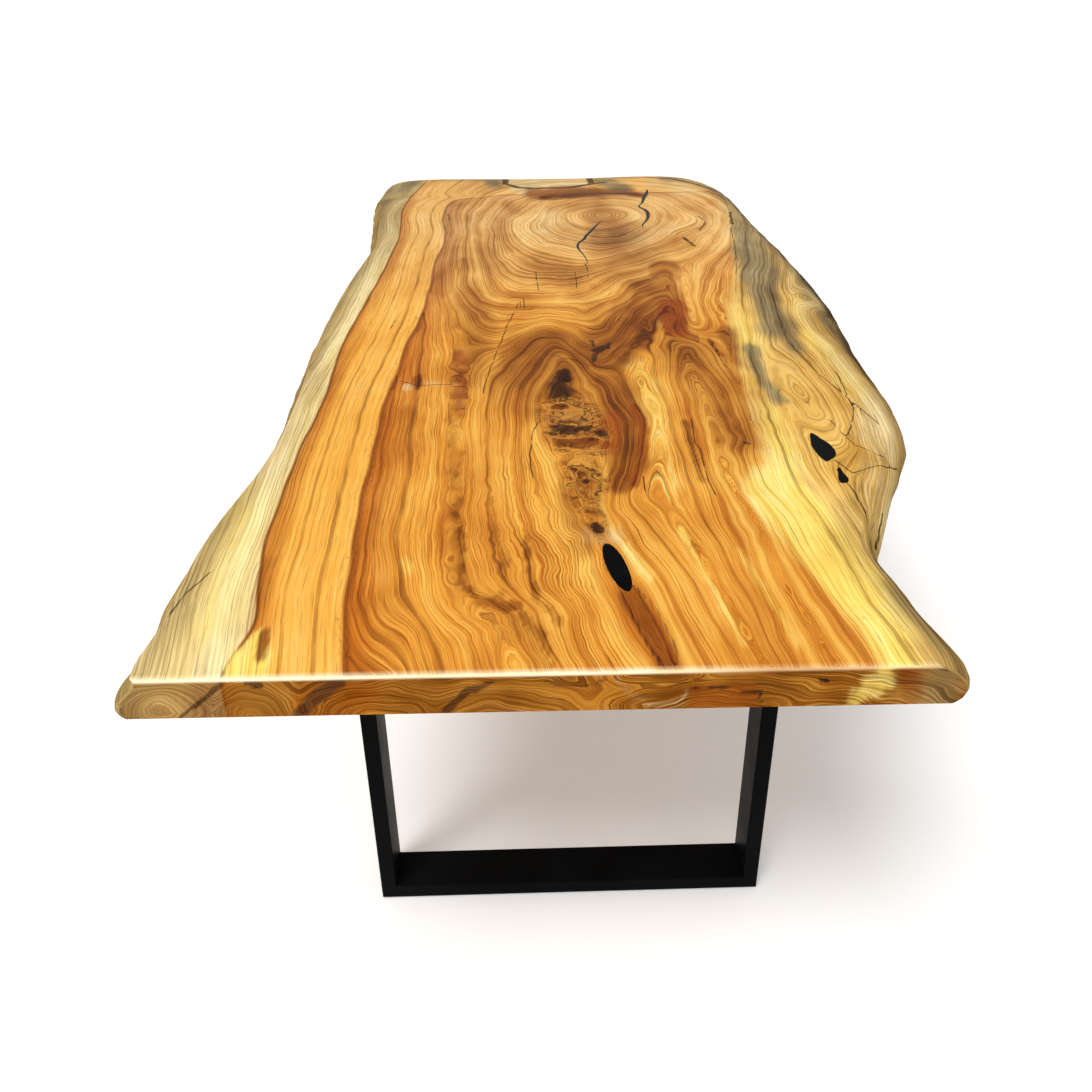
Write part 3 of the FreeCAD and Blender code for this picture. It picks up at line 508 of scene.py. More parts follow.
# Marks in the top face: half width, points, strength, softness and raggedness
TOP_STROKES = strokes({
    # Brown heart: the rings' left flank, the mass round the burl, the streaks beside it and the right border
    Trait.BROWN: (
        (26, ((-222, 1660), (-232, 1450), (-222, 1250), (-224, 1050), (-220, 930)), 0.52, 0.9),
        (50, ((-120, 1450), (-140, 1250), (-125, 1090)), 0.55, 0.9),
        (60, ((-20, 1080), (100, 1025), (190, 1090)), 0.47, 0.9),
        (40, ((60, 900), (85, 800), (84, 700)), 0.47, 0.9),
        (60, ((-130, 1640), (-160, 1520), (-150, 1400)), 0.45, 0.8),
        (9, ((-190, 1150), (-182, 900), (-187, 700)), 0.5, 0.9),
        (42, ((-165, 900), (-150, 780), (-138, 680), (-138, 590), (-146, 500)), 0.58, 0.9),
        (26, ((-45, 440), (-44, 370), (-40, 310)), 0.6, 0.8),
        (20, ((322, 640), (318, 570), (308, 500)), 0.72, 0.9),
        (12, ((298, 500), (294, 400), (288, 280), (278, 170)), 0.6, 0.8),
        (40, ((226, 600), (228, 480), (240, 330), (256, 200)), 0.66, 0.9),
        (7, ((190, 240), (187, 170), (186, 60)), 0.8, 0.8),
        (9, ((-176, 300), (-160, 150), (-152, 0), (-150, -110), (-142, -200)), 0.5, 0.9, 0.6),
        (38, ((-80, -50), (-72, -150), (-58, -220), (-38, -300)), 0.12, 0.9, 0.6),
        (14, ((-142, -190), (-112, -236), (-70, -280), (-40, -345)), 0.42, 0.8, 0.6),
                (5, ((-33, -359), (-43, -316), (-69, -252), (-112, -240), (-139, -195), (-137, -100), (-152, -29)),
            0.72, 0.8, 0.5),
        (5, ((-88, -234), (-85, -159), (-99, -76), (-104, 7)), 0.48, 0.8, 0.5),
        (5, ((-23, -278), (-49, -235), (-56, -176), (-60, -95)), 0.6, 0.8, 0.5),
        (46, ((62, 585), (74, 500), (74, 400), (88, 300)), 0.66, 0.8),
        (62, ((12, 540), (0, 440), (6, 370)), 0.58, 0.9),
        (54, ((-40, 580), (-76, 490), (-80, 430)), 0.62, 0.9),
        (34, ((176, 740), (190, 800), (200, 880)), 0.92, 0.7),
        (42, ((40, 520), (112, 590), (146, 705), (198, 830), (216, 920)), 0.82, 0.8),
        (50, ((250, 560), (262, 440), (280, 320)), 0.5, 0.9),
        (34, ((250, 1040), (246, 930), (240, 850), (232, 790)), 1.0, 0.7),
        (60, ((425, 480), (420, 350)), 0.34, 0.9),
        (16, ((-4, 20), (2, -60), (12, -110)), 0.6, 0.8),
        (60, ((155, 1530), (160, 1440), (150, 1330), (135, 1230)), 0.56, 0.9),
        (30, ((-20, 1790), (90, 1800), (190, 1790), (230, 1800)), 0.75, 0.8),
        (12, ((0, 1734), (60, 1742), (137, 1766), (231, 1764), (272, 1736)), 0.95, 0.7, 0.2),
        (60, ((-200, 1900), (-150, 1860)), 0.5, 0.8),
        (13, ((-377, -150), (-373, -220), (-371, -280)), 0.45, 0.9),
        (7, ((-350, -290), (-347, -330)), 0.9, 0.8),
        (12, ((-245, 300), (-250, 100), (-258, -100)), 0.35, 0.9),
    ),
    # Red-brown patches, knots and the tongue below the long void
    Trait.RED: (
        (24, ((236, 780), (230, 720), (226, 665)), 0.85, 0.5, 0.3),
        (15, ((60, -240), (75, -290), (86, -345)), 0.58, 0.4, 0.05),
        (12, ((-172, 555), (-164, 510)), 0.5, 0.9, 0.5),
        (15, ((-164, 462), (-162, 398)), 0.72, 0.9, 0.5),
        (14, ((-163, 372), (-162, 318)), 0.72, 0.9, 0.5),
        (9, ((-238, 440), (-234, 405)), 0.7, 0.8, 0.5),
        (5, ((282, 606), (286, 560), (292, 528)), 0.8, 0.9),
        (24, ((-6, 238), (35, 232), (62, 220)), 0.85, 0.8, 0.5),
        (9, ((118, 300), (124, 220), (110, 110), (92, 50)), 0.7, 0.8),
    ),
    # Grey stain in the sapwood and along the natural edges
    Trait.GREY: (
        (40, ((515, 1480), (490, 1300), (466, 1120), (452, 980), (430, 850), (420, 700)), 0.95, 0.8),
        (22, ((452, 1080), (460, 960), (428, 700), (426, 560)), 0.7, 0.9),
        (34, ((556, 1150), (550, 900), (546, 700), (540, 560)), 1.0, 0.8),
        (15, ((348, 548), (344, 470), (342, 400), (348, 340)), 0.85, 0.95),
        (10, ((-474, -390), (-466, -250), (-454, -120), (-436, 60)), 0.4, 0.9),
        (12, ((-428, 500), (-420, 800), (-410, 1100), (-408, 1250)), 0.4, 0.9),
        (30, ((-420, 1300), (-432, 1600), (-430, 1830), (-370, 1960)), 0.7, 0.8),
        (30, ((-140, 1950), (-125, 1890)), 0.8, 0.8),
        (28, ((175, 1920), (195, 1880), (230, 1850)), 0.8, 0.8),
        (24, ((360, 1965), (450, 1890), (500, 1750), (505, 1600)), 0.7, 0.8),
        (20, ((405, -395), (385, -330), (370, -250)), 0.6, 0.9),
    ),
    # Dark knots, bark lines and ring marks
    Trait.DARK: (
        (7, ((548, 1050), (552, 850), (548, 700), (540, 560)), 0.45, 0.9),
        (12, ((75, 564), (90, 576)), 0.85, 0.6, 0.5),
        (4.5, ((67, 614), (69, 580)), 0.8, 0.8, 0.4),
        (4.5, ((70, 548), (64, 508)), 0.8, 0.8, 0.4),
        (5, ((90, 575), (102, 602)), 0.8, 0.8, 0.4),
        (13, ((7, 466), (5, 428)), 0.72, 0.9, 0.4),
        (22, ((6, 412), (12, 358)), 0.68, 0.9, 0.5),
        (15, ((-16, 244), (-4, 232)), 0.7, 0.9, 0.7),
        (10, ((6, 222), (16, 234)), 0.66, 0.9, 0.7),
        (7, ((-2, 258), (12, 256)), 0.6, 0.9, 0.7),
        (6, ((-24, 218), (-8, 210)), 0.6, 0.9, 0.7),
        (3.5, ((-178, 456), (-164, 462), (-150, 455)), 0.6, 0.8, 0.5),
        (3.5, ((-179, 410), (-163, 408), (-149, 412)), 0.6, 0.8, 0.5),
        (3.5, ((-176, 361), (-162, 363), (-150, 360)), 0.6, 0.8, 0.5),
        (3.5, ((-174, 316), (-160, 314), (-148, 318)), 0.55, 0.8, 0.5),
        (3.5, ((-240, 452), (-235, 425), (-239, 400)), 0.6, 0.8, 0.5),
        (6, ((0, 1734), (60, 1742), (137, 1766), (231, 1764), (272, 1736)), 0.7, 0.8, 0.3),
        (9, ((52, 222), (60, 212)), 0.85, 0.8, 0.5),
        (6, ((34, 268), (38, 262)), 0.75, 0.8, 0.5),
        (7, ((36, 230), (42, 240)), 0.7, 0.8, 0.5),
        (6, ((25, 60), (26, 54)), 0.85, 0.8, 0.4),
        (5, ((42, 78), (44, 74)), 0.8, 0.8, 0.4),
        (4, ((10, 12), (12, 6)), 0.8, 0.8, 0.6),
        (6, ((30, -66), (34, -82)), 0.85, 0.8, 0.6),
        (9, ((-102, 1975), (-99, 1905), (-62, 1858), (-20, 1846), (76, 1846), (140, 1884)), 0.85, 0.6),
        (9, ((142, 1975), (145, 1890), (185, 1905)), 0.8, 0.7),
        (6, ((300, 1965), (380, 1935), (440, 1860), (492, 1745)), 0.65, 0.8),
        (5, ((480, 1539), (472, 1480), (464, 1419)), 0.7, 0.8),
        (5, ((392, 1504), (403, 1443), (377, 1369)), 0.55, 0.8),
        (6, ((330, 1300), (343, 1229)), 0.7, 0.8),
        (5, ((-247, 1572), (-236, 1500)), 0.5, 0.8),
        (4, ((130, 1530), (145, 1565), (180, 1560), (190, 1520), (165, 1492), (135, 1500), (130, 1530)), 0.35, 0.8),
        (5, ((268, 170), (272, 164)), 0.7, 0.8),
        (5, ((376, -140), (372, -178)), 0.7, 0.8),
                (3.5, ((52, -225), (56, -254), (68, -320), (81, -370), (97, -367), (98, -322), (83, -248), (67,
            -211)), 0.48, 0.7, 0.1),
    ),
    # Yellow sapwood streaks
    Trait.YELLOW: (
        (20, ((263, 30), (284, -78), (301, -185), (321, -287), (334, -369)), 0.9, 0.8),
        (26, ((300, 40), (316, -52), (334, -160), (350, -260)), 1.0, 0.8),
        (5, ((139, -85), (150, -160), (163, -250), (174, -330)), 0.55, 0.9),
        (6, ((204, -140), (217, -230), (232, -330)), 0.5, 0.9),
        (7, ((64, -125), (76, -160), (86, -195)), 0.55, 0.9, 0.4),
        (28, ((366, 760), (356, 660), (350, 590)), 0.55, 0.9),
        (22, ((465, 600), (490, 450), (490, 300)), 0.5, 0.9),
        (9, ((-358, -300), (-360, -330)), 1.0, 0.6, 0.2),
        (19, ((-357, -352), (-352, -395)), 1.0, 0.5, 0.2),
        (22, ((136, 500), (146, 400), (152, 250), (138, 60)), 0.42, 0.9),
        (9, ((205, 722), (200, 690)), 0.5, 0.8),
        (8, ((-208, -150), (-203, -165)), 0.4, 0.9),
        (26, ((-440, 40), (-430, -120), (-420, -260)), 0.5, 0.9),
        (22, ((330, 260), (315, 120), (300, 60)), 0.6, 0.9),
    ),
    # Pale wood: the barkless patch at the far end and the light rings
    Trait.PALE: (
        (46, ((-52, 1985), (-50, 1900)), 1.0, 0.25, 0.08),
        (44, ((20, 1985), (22, 1905)), 0.7, 0.3, 0.1),
        (46, ((95, 1985), (95, 1910)), 0.8, 0.25, 0.08),
        (50, ((20, 1560), (10, 1450), (60, 1330), (200, 1290), (300, 1380)), 0.35, 0.9),
        (36, ((330, 1900), (400, 1840)), 0.5, 0.8),
        (9, ((-24, 268), (8, 284), (58, 276)), 0.5, 0.9),
        (10, ((16, -92), (36, -100), (58, -96)), 0.45, 0.9),
        (30, ((440, 40), (420, -60), (392, -150)), 0.6, 0.8),
        (30, ((470, 160), (500, 280)), 0.7, 0.8),
        (28, ((512, 330), (518, 230), (505, 130), (482, 50)), 0.75, 0.8),
        (7, ((-165, 438), (-164, 428)), 0.5, 0.7),
        (7, ((-164, 390), (-164, 380)), 0.5, 0.7),
        (7, ((-162, 343), (-162, 333)), 0.5, 0.7),
        (6, ((-256, 410), (-244, 412)), 0.6, 0.7),
        (6, ((-222, 428), (-196, 420)), 0.5, 0.8),
    ),
    # Burl eyes
    Trait.BURL: (
        (46, ((10, 315), (16, 240), (24, 160)), 1.0, 0.6, 0.3),
        (28, ((24, 160), (28, 80), (30, 40)), 1.0, 0.7, 0.4),
        (22, ((24, 20), (28, -40), (36, -92)), 0.9, 0.7, 0.4),
        (12, ((-165, 440), (-164, 330)), 0.4, 0.8, 0.5),
    ),
    # Restless grain
    Trait.WILD: (
        (70, ((225, 600), (228, 450), (250, 330)), 0.22, 0.8),
        (55, ((-100, -30), (-90, -150), (-50, -280)), 0.55, 0.8),
        (46, ((25, 280), (28, 100), (40, -80)), 0.9, 0.7),
        (60, ((-60, 830), (40, 860), (110, 900)), 0.3, 0.8),
        (60, ((400, 480), (410, 300)), 0.2, 0.8),
        (26, ((-165, 480), (-160, 330)), 0.6, 0.8),
    ),
})

# Marks in the sawn end, with heights above the underside in place of places along the grain
END_STROKES = strokes({
    Trait.DARK: (
        (4, ((-378, 48), (-398, 28), (-430, 2)), 0.58, 0.5, 0.4),
        (5, ((-352, 46), (-340, 42)), 0.7, 0.6),
        (9, ((-304, 2), (-286, 24), (-258, 43)), 0.6, 0.6, 0.4),
        (5, ((-148, 4), (-124, 30), (-99, 40)), 0.58, 0.5, 0.4),
        (4, ((-40, 40), (0, 30), (20, 40)), 0.5, 0.6, 0.4),
        (3.5, ((108, 25), (150, 26), (185, 21), (187, 4)), 0.62, 0.5, 0.3),
        (2.5, ((243, 38), (254, 34)), 0.9, 0.6),
    ),
    Trait.PALE: (
        (2, ((32, 45), (50, 18), (74, 5), (102, 10), (108, 24)), 0.42, 0.8),
    ),
    Trait.RED: (
        (10, ((120, 10), (175, 10)), 0.55, 0.9),
    ),
    Trait.YELLOW: (
        (8, ((314, 42), (300, 25), (288, 5)), 0.58, 0.8, 0.7),
        (14, ((-460, 36), (-425, 34)), 0.3, 0.9),
    ),
    Trait.BROWN: (
        (14, ((-12, 20), (45, 17)), 0.55, 0.9),
        (16, ((-292, 8), (-264, 26), (-235, 34)), 0.85, 0.8),
        (10, ((338, 44), (345, 25), (350, 4)), 0.7, 0.6),
    ),
    Trait.GREY: (
        (18, ((384, 34), (372, 12)), 0.45, 0.8),
    ),
})


# Node graphs


class Graph:
    """The nodes of one material or group, written as expressions."""

    def __init__(self, tree: bpy.types.NodeTree) -> None:
        """Keeps the tree that nodes are added to."""
        self.tree = tree

    def node(self, kind: str, **settings: object) -> bpy.types.Node:
        """Adds a node and sets its properties."""
        made = self.tree.nodes.new(kind)
        for name, value in settings.items():
            setattr(made, name, value)
        return made

    def feed(self, socket: Socket, value: object) -> None:
        """Links a socket to another one, or sets its value."""
        if isinstance(value, Socket):
            self.tree.links.new(value, socket)
        else:
            socket.default_value = value

    def fill(self, made: bpy.types.Node, **values: object) -> bpy.types.Node:
        """Feeds a node's inputs by name, with underscores for the names' blanks."""
        for name, value in values.items():
            self.feed(made.inputs[name.replace("_", " ")], value)
        return made

    def math(self, operation: str, *values: object) -> Socket:
        """Works out one sum on numbers or sockets."""
        made = self.node("ShaderNodeMath", operation=operation)
        for socket, value in zip(made.inputs, values):
            self.feed(socket, value)
        return made.outputs[0]

    def add(self, *values: object) -> Socket:
        """Adds numbers or sockets up."""
        total = values[0]
        for value in values[1:]:
            total = self.math("ADD", total, value)
        return total

    def times(self, *values: object) -> Socket:
        """Multiplies numbers or sockets."""
        total = values[0]
        for value in values[1:]:
            total = self.math("MULTIPLY", total, value)
        return total

    def blend(self, parts: tuple[tuple[Socket, float], ...], offset: float = 0.0) -> Socket:
        """Adds up shares of sockets and an offset."""
        return self.add(*(self.times(socket, share) for socket, share in parts), offset)

    def centred(self, value: Socket) -> Socket:
        """Takes a half off a value, so that noise swings around zero."""
        return self.math("SUBTRACT", value, 0.5)

    def ease(self, value: Socket, low: float, high: float, start: float = 0.0, end: float = 1.0) -> Socket:
        """Steps smoothly from start to end as a value goes from low to high."""
        made = self.node("ShaderNodeMapRange", interpolation_type="SMOOTHSTEP")
        self.fill(made, Value=value, From_Min=low, From_Max=high, To_Min=start, To_Max=end)
        return made.outputs["Result"]

    def mix(self, share: object, first: object, second: object, blend: str = "MIX") -> Socket:
        """Mixes two colours."""
        made = self.node("ShaderNodeMix", data_type="RGBA", blend_type=blend)
        colours = [socket for socket in made.inputs if socket.type == "RGBA"]
        self.feed(made.inputs[0], share)
        self.feed(colours[0], first)
        self.feed(colours[1], second)
        return next(socket for socket in made.outputs if socket.type == "RGBA")

    def ramp(self, share: Socket, stops: tuple[tuple[float, Colour], ...]) -> Socket:
        """Turns a value into a colour along a row of stops."""
        made = self.node("ShaderNodeValToRGB")
        row = made.color_ramp.elements
        while len(row) < len(stops):
            row.new(0.5)
        for stop, (place, colour) in zip(row, stops):
            stop.position = place
            stop.color = colour
        self.feed(made.inputs[0], share)
        return made.outputs[0]

    def combine(self, x: object, y: object, z: object) -> Socket:
        """Makes a vector of three values."""
        made = self.node("ShaderNodeCombineXYZ")
        for socket, value in zip(made.inputs, (x, y, z)):
            self.feed(socket, value)
        return made.outputs[0]

    def place(self, scale: Triple = (1, 1, 1)) -> Socket:
        """Gives the place on the piece in metres, stretched along its axes."""
        made = self.node("ShaderNodeMapping")
        here = self.node("ShaderNodeTexCoord").outputs["Object"]
        return self.fill(made, Vector=here, Scale=scale).outputs[0]

    def noise(self, vector: Socket, scale: float, detail: float = 2.0, rough: float = 0.5) -> Socket:
        """Gives smooth noise around a half at a place."""
        made = self.node("ShaderNodeTexNoise", noise_dimensions="3D")
        return self.fill(made, Vector=vector, Scale=scale, Detail=detail, Roughness=rough).outputs[0]

    def noise_along(self, value: Socket, scale: float, detail: float = 2.0, rough: float = 0.5) -> Socket:
        """Gives smooth noise around a half along one value."""
        made = self.node("ShaderNodeTexNoise", noise_dimensions="1D")
        return self.fill(made, W=value, Scale=scale, Detail=detail, Roughness=rough).outputs[0]

    def trait(self, trait: Trait) -> Socket:
        """Reads one of the slab's vertex attributes."""
        return self.node("ShaderNodeAttribute", attribute_name=trait.value).outputs["Fac"]

    def shown(self) -> Socket:
        """Tells rays that show a surface, straight, mirrored or through glass, from rays that light others."""
        path = self.node("ShaderNodeLightPath")
        seen = self.math("MAXIMUM", path.outputs["Is Camera Ray"], path.outputs["Is Glossy Ray"])
        return self.math("MAXIMUM", seen, path.outputs["Is Transmission Ray"])

    def bump(self, height: Socket, strength: float, distance: float) -> Socket:
        """Turns a height into a normal."""
        made = self.node("ShaderNodeBump")
        return self.fill(made, Strength=strength, Distance=distance, Height=height).outputs[0]


def new_material(name: str) -> tuple[bpy.types.Material, Graph, bpy.types.Node]:
    """Starts a material.

    Args:
        name: The material's name.

    Returns:
        The material, its graph, and the Principled shader that its output shows.
    """
    material = bpy.data.materials.new(name)
    material.use_nodes = True
    material.node_tree.nodes.clear()
    graph = Graph(material.node_tree)
    shader = graph.node("ShaderNodeBsdfPrincipled")
    output = graph.node("ShaderNodeOutputMaterial")
    graph.feed(output.inputs["Surface"], shader.outputs[0])
    return material, graph, shader


def grit_group() -> bpy.types.NodeTree:
    """Builds the group that paint, resin, metal and felt share: fine grit with slow drift.

    Returns:
        A group with the grit's size and the drift's size as inputs, and both values as outputs.
    """
    group = bpy.data.node_groups.new("surface_grit", "ShaderNodeTree")
    for name, start in (("Grit Scale", 900.0), ("Drift Scale", 9.0)):
        socket = group.interface.new_socket(name, in_out="INPUT", socket_type="NodeSocketFloat")
        socket.default_value = start
    for name in ("Grit", "Drift"):
        group.interface.new_socket(name, in_out="OUTPUT", socket_type="NodeSocketFloat")
    graph = Graph(group)
    start = graph.node("NodeGroupInput")
    end = graph.node("NodeGroupOutput")
    place = graph.place()
    graph.feed(end.inputs["Grit"], graph.noise(place, start.outputs["Grit Scale"], 2.0, 0.6))
    graph.feed(end.inputs["Drift"], graph.noise(place, start.outputs["Drift Scale"], 3.0))
    return group


@dataclass(frozen=True)
class PlainFinish:
    """A finish of one stuff: paint, resin, metal or felt, with grit in its gloss and surface."""

    name: str
    dark: str
    light: str
    roughness: tuple[float, float]
    metallic: float = 0.0
    specular: float = 0.5
    grit_scale: float = 900.0
    drift_scale: float = 9.0
    relief: float = 0.0001

    def build(self, grit: bpy.types.NodeTree) -> bpy.types.Material:
        """Builds the material around the shared grit group."""
        material, graph, shader = new_material(self.name)
        made = graph.node("ShaderNodeGroup", node_tree=grit)
        graph.fill(made, Grit_Scale=self.grit_scale, Drift_Scale=self.drift_scale)
        value = graph.blend(((made.outputs["Grit"], 0.5), (made.outputs["Drift"], 0.5)))
        colour = graph.ramp(value, ((0.35, tint(self.dark)), (0.65, tint(self.light))))
        graph.feed(shader.inputs["Base Color"], colour)
        graph.feed(shader.inputs["Roughness"], graph.ease(value, 0.35, 0.65, *self.roughness))
        shader.inputs["Metallic"].default_value = self.metallic
        shader.inputs["Specular IOR Level"].default_value = self.specular
        graph.feed(shader.inputs["Normal"], graph.bump(made.outputs["Grit"], 0.5, self.relief))
        return material


@dataclass(frozen=True)
class Grain:
    """The graph and the sockets of the wood's grain that the layers of its colour share."""

    graph: Graph
    place: Socket
    across: Socket
    along: Socket
    value: Socket
    quick: Socket
    fibre: Socket
    drift: Socket
    lines: Socket
    pores: Socket
    ragged: Socket


@dataclass(frozen=True)
class WoodFinish:
    """The slab's lacquered wood, coloured from the figure that its mesh carries.

    Each wood has a dark, a middle and a light shade.
    """

    name: str = "lacquered_live_edge_wood"
    gold: Shades = ("#b2641a", "#dd9434", "#f3bb55")
    tan: Shades = ("#d0801f", "#f0ae48", "#fccd72")
    sapwood: Shades = ("#bd9a54", "#eed590", "#fbecbc")
    far_sapwood: Shades = ("#7d6840", "#b59a62", "#d8c08a")
    right_sapwood: Shades = ("#b47f30", "#e5b458", "#f7da8a")
    far: Shades = ("#b08040", "#e5b974", "#f7dda6")
    brown: Shades = ("#3e1a02", "#803c08", "#bc7624")
    rust: Shades = ("#8a4208", "#b85e12", "#d58028")
    red: Shades = ("#5c2206", "#8e400e", "#b25c1c")
    grey: Shades = ("#38332a", "#756a50", "#ae9c6c")
    yellow: Shades = ("#efbb48", "#fddd6c", "#fff0a0")
    pale: Shades = ("#a98a54", "#d8ba80", "#efdfb0")
    dark: Shades = ("#1a0c06", "#3a1f10", "#6a4426")
    sawn: Shades = ("#4a2203", "#7a420c", "#c07c2a")
    edge: Shades = ("#553f22", "#a1824c", "#d8b878")
    # Darker skin for the right-hand sides: partly the bark's dark grey, partly painted shade
    shaded_dark_bark: Shades = ("#231c12", "#4f412c", "#8a7450")
    # Shades of the painted highlight along the sawn end's upper edge
    arris_highlight: Shades = ("#e9cf9c", "#f7e6bf", "#fff6df")
    line: str = "#5e2f0e"
    crack: str = "#2b170c"
    burl_line: str = "#341004"
    burl_stops: tuple[tuple[float, str], ...] = (
        (0.07, "#220a04"), (0.17, "#5c280a"), (0.32, "#9c5816"), (0.50, "#d0923c"), (0.66, "#7c3e0e"),
    )
    shade_places: Triple = (0.30, 0.5, 0.70)
    lines_per_metre: float = 125.0
    line_sharpness: float = 3.6
    line_strength: float = 0.62
    pore_strength: float = 0.42
    eyes_per_metre: float = 30.0
    coat: float = 0.09
    coat_roughness: float = 0.07
    relief: float = 0.0008

    def shades(self, grain: Grain, codes: Shades) -> Socket:
        """Runs a wood's dark, middle and light shades over the grain."""
        stops = tuple((place, tint(code)) for place, code in zip(self.shade_places, codes))
        return grain.graph.ramp(grain.value, stops)

    def grain(self, graph: Graph) -> Grain:
        """Builds the grain: the growth field, shaken a little, and the lines, fibres and pores along it.

        Args:
            graph: The material's graph.

        Returns:
            The grain's sockets.
        """
        place = graph.place()
        wild = graph.trait(Trait.WILD)
        slow = graph.centred(graph.noise(place, 14.0))
        quick = graph.centred(graph.noise(graph.place((1, 0.3, 1)), 80.0))
        shaken = graph.add(
            graph.trait(Trait.GROWTH),
            graph.times(slow, graph.add(graph.times(wild, 0.06), 0.005)),
            graph.times(quick, graph.add(graph.times(wild, 0.010), 0.0008)),
        )
        axes = graph.node("ShaderNodeSeparateXYZ")
        graph.feed(axes.inputs[0], place)
        across, along = axes.outputs[0], axes.outputs[1]

        def drawn_out(density: float, spread: float, detail: float, rough: float) -> Socket:
            """Gives noise that is drawn out along the growth lines."""
            sides = (graph.times(axis, spread) for axis in (across, along))
            return graph.noise(graph.combine(graph.times(shaken, density), *sides), 1.0, detail, rough)

        broad = graph.noise_along(shaken, 22.0, 3.0, 0.6)
        fine = graph.noise_along(shaken, 420.0, 2.0, 0.6)
        fibre = drawn_out(520.0, 8.0, 4.0, 0.65)
        pores = graph.ease(drawn_out(760.0, 15.0, 2.0, 0.6), 0.55, 0.70)

        count = graph.add(graph.times(shaken, self.lines_per_metre), graph.times(broad, 5.0))
        turn = graph.math("FRACT", count)
        chance = graph.node("ShaderNodeTexWhiteNoise", noise_dimensions="1D")
        graph.feed(chance.inputs["W"], graph.math("FLOOR", count))
        late = graph.times(graph.ease(turn, 0.25, 0.93), graph.ease(turn, 1.0, 0.95))
        patchy = graph.ease(graph.noise(place, 7.0), 0.35, 0.65, 0.45, 1.0)
        uneven = graph.ease(chance.outputs[0], 0.0, 1.0, 0.25, 1.0)
        lines = graph.times(graph.math("POWER", late, self.line_sharpness), patchy, uneven)

        sheen = graph.noise(graph.place((1, 0.5, 1)), 11.0)
        value = graph.blend(((broad, 0.68), (fine, 0.36), (fibre, 0.76), (sheen, 0.50)), -0.65)
        calm = graph.times(
            graph.ease(graph.trait(Trait.BAND), -0.01, 0.03, 0.55, 1.0),
            graph.ease(graph.trait(Trait.RIGHT), -0.01, 0.03, 1.0, 0.75),
        )
        value = graph.math("MULTIPLY_ADD", graph.centred(value), calm, 0.5)
        drift = graph.noise(graph.place((1, 0.35, 1)), 9.0, 3.0)
        ragged = graph.blend(((fibre, 0.8), (fine, 0.4), (drift, 0.5), (late, 0.15)), -0.9)
        return Grain(graph, place, across, along, value, quick, fibre, drift, lines, pores, ragged)

    def zones(self, grain: Grain) -> Socket:
        """Colours the heart, the bands, the sapwood and the sawn end."""
        graph = grain.graph
        sap, band, right = (graph.trait(trait) for trait in (Trait.SAP, Trait.BAND, Trait.RIGHT))
        rust = self.shades(grain, self.rust)
        ground = self.shades(grain, self.gold)
        ground = graph.mix(graph.ease(band, 0.002, -0.002), ground, self.shades(grain, self.tan))
        stripe = graph.times(graph.ease(band, 0.075, 0.0), graph.ease(band, -0.003, 0.001))
        ground = graph.mix(graph.times(stripe, 0.85), ground, rust)
        ground = graph.mix(graph.ease(right, -0.005, 0.009), ground, self.shades(grain, self.right_sapwood))
        far = graph.ease(grain.along, -0.2, 0.7, 0.0, 0.55)
        ground = graph.mix(far, ground, self.shades(grain, self.far))
        farther = graph.ease(grain.along, -0.1, 0.9)
        pale_sap = graph.mix(farther, self.shades(grain, self.sapwood), self.shades(grain, self.far_sapwood))
        ground = graph.mix(graph.ease(sap, 0.002, -0.003), ground, pale_sap)
        border = graph.times(graph.ease(sap, -0.003, 0.001), graph.ease(sap, 0.032, 0.002))
        ground = graph.mix(graph.times(border, 0.65), ground, rust)
        for boundary, shift, half, strength in ((sap, 0.001, 0.004, 0.8), (band, 0.003, 0.007, 0.55)):
            off = graph.math("ABSOLUTE", graph.math("SUBTRACT", boundary, shift))
            ground = graph.mix(graph.ease(off, 0.0, half, strength, 0.0), ground, tint(self.line))
        sawn = graph.times(graph.trait(Trait.SAWN), 0.85)
        return graph.mix(sawn, ground, self.shades(grain, self.sawn))

    def marks(self, grain: Grain, ground: Socket) -> Socket:
        """Lays the coloured marks over the zones, with edges that run out along the grain."""
        graph = grain.graph
        for trait, shades, reach in (
            (Trait.YELLOW, self.yellow, 0.9),
            (Trait.PALE, self.pale, 0.9),
            (Trait.BROWN, self.brown, 0.9),
            (Trait.GREY, self.grey, 0.85),
            (Trait.RED, self.red, 0.95),
        ):
            mask = graph.ease(graph.add(graph.trait(trait), grain.ragged), 0.15, 0.85)
            ground = graph.mix(graph.times(mask, reach), ground, self.shades(grain, shades))
        return ground

    def skin(self, grain: Grain, ground: Socket) -> Socket:
        """Lays the weathered skin over the natural sides and a little way in from them, darker on the right-hand
        sides away from the near end: partly the bark's own dark grey, partly painted shade where those sides face
        away from the sun.
        """
        graph = grain.graph
        side, pale = graph.trait(Trait.SIDE), graph.trait(Trait.PALE)
        edge = graph.add(graph.trait(Trait.EDGE), graph.times(graph.centred(grain.drift), 0.08))
        border = graph.ease(graph.add(edge, graph.times(graph.centred(grain.fibre), 0.05)), 0.050, 0.0)
        border = graph.times(border, graph.math("MULTIPLY_ADD", pale, -0.5, 0.6))
        flank = graph.times(side, graph.math("MULTIPLY_ADD", pale, -0.6, 0.9))
        # Right-hand sides away from the near end: painted shade where they face away from the sun, and partly the
        # bark's dark grey
        shade_and_dark_bark = graph.times(graph.ease(grain.across, 0.1, 0.3), graph.ease(grain.along, -0.62, -0.40), side)
        bark = graph.mix(shade_and_dark_bark, self.shades(grain, self.edge), self.shades(grain, self.shaded_dark_bark))
        return graph.mix(graph.math("MAXIMUM", border, flank), ground, bark)

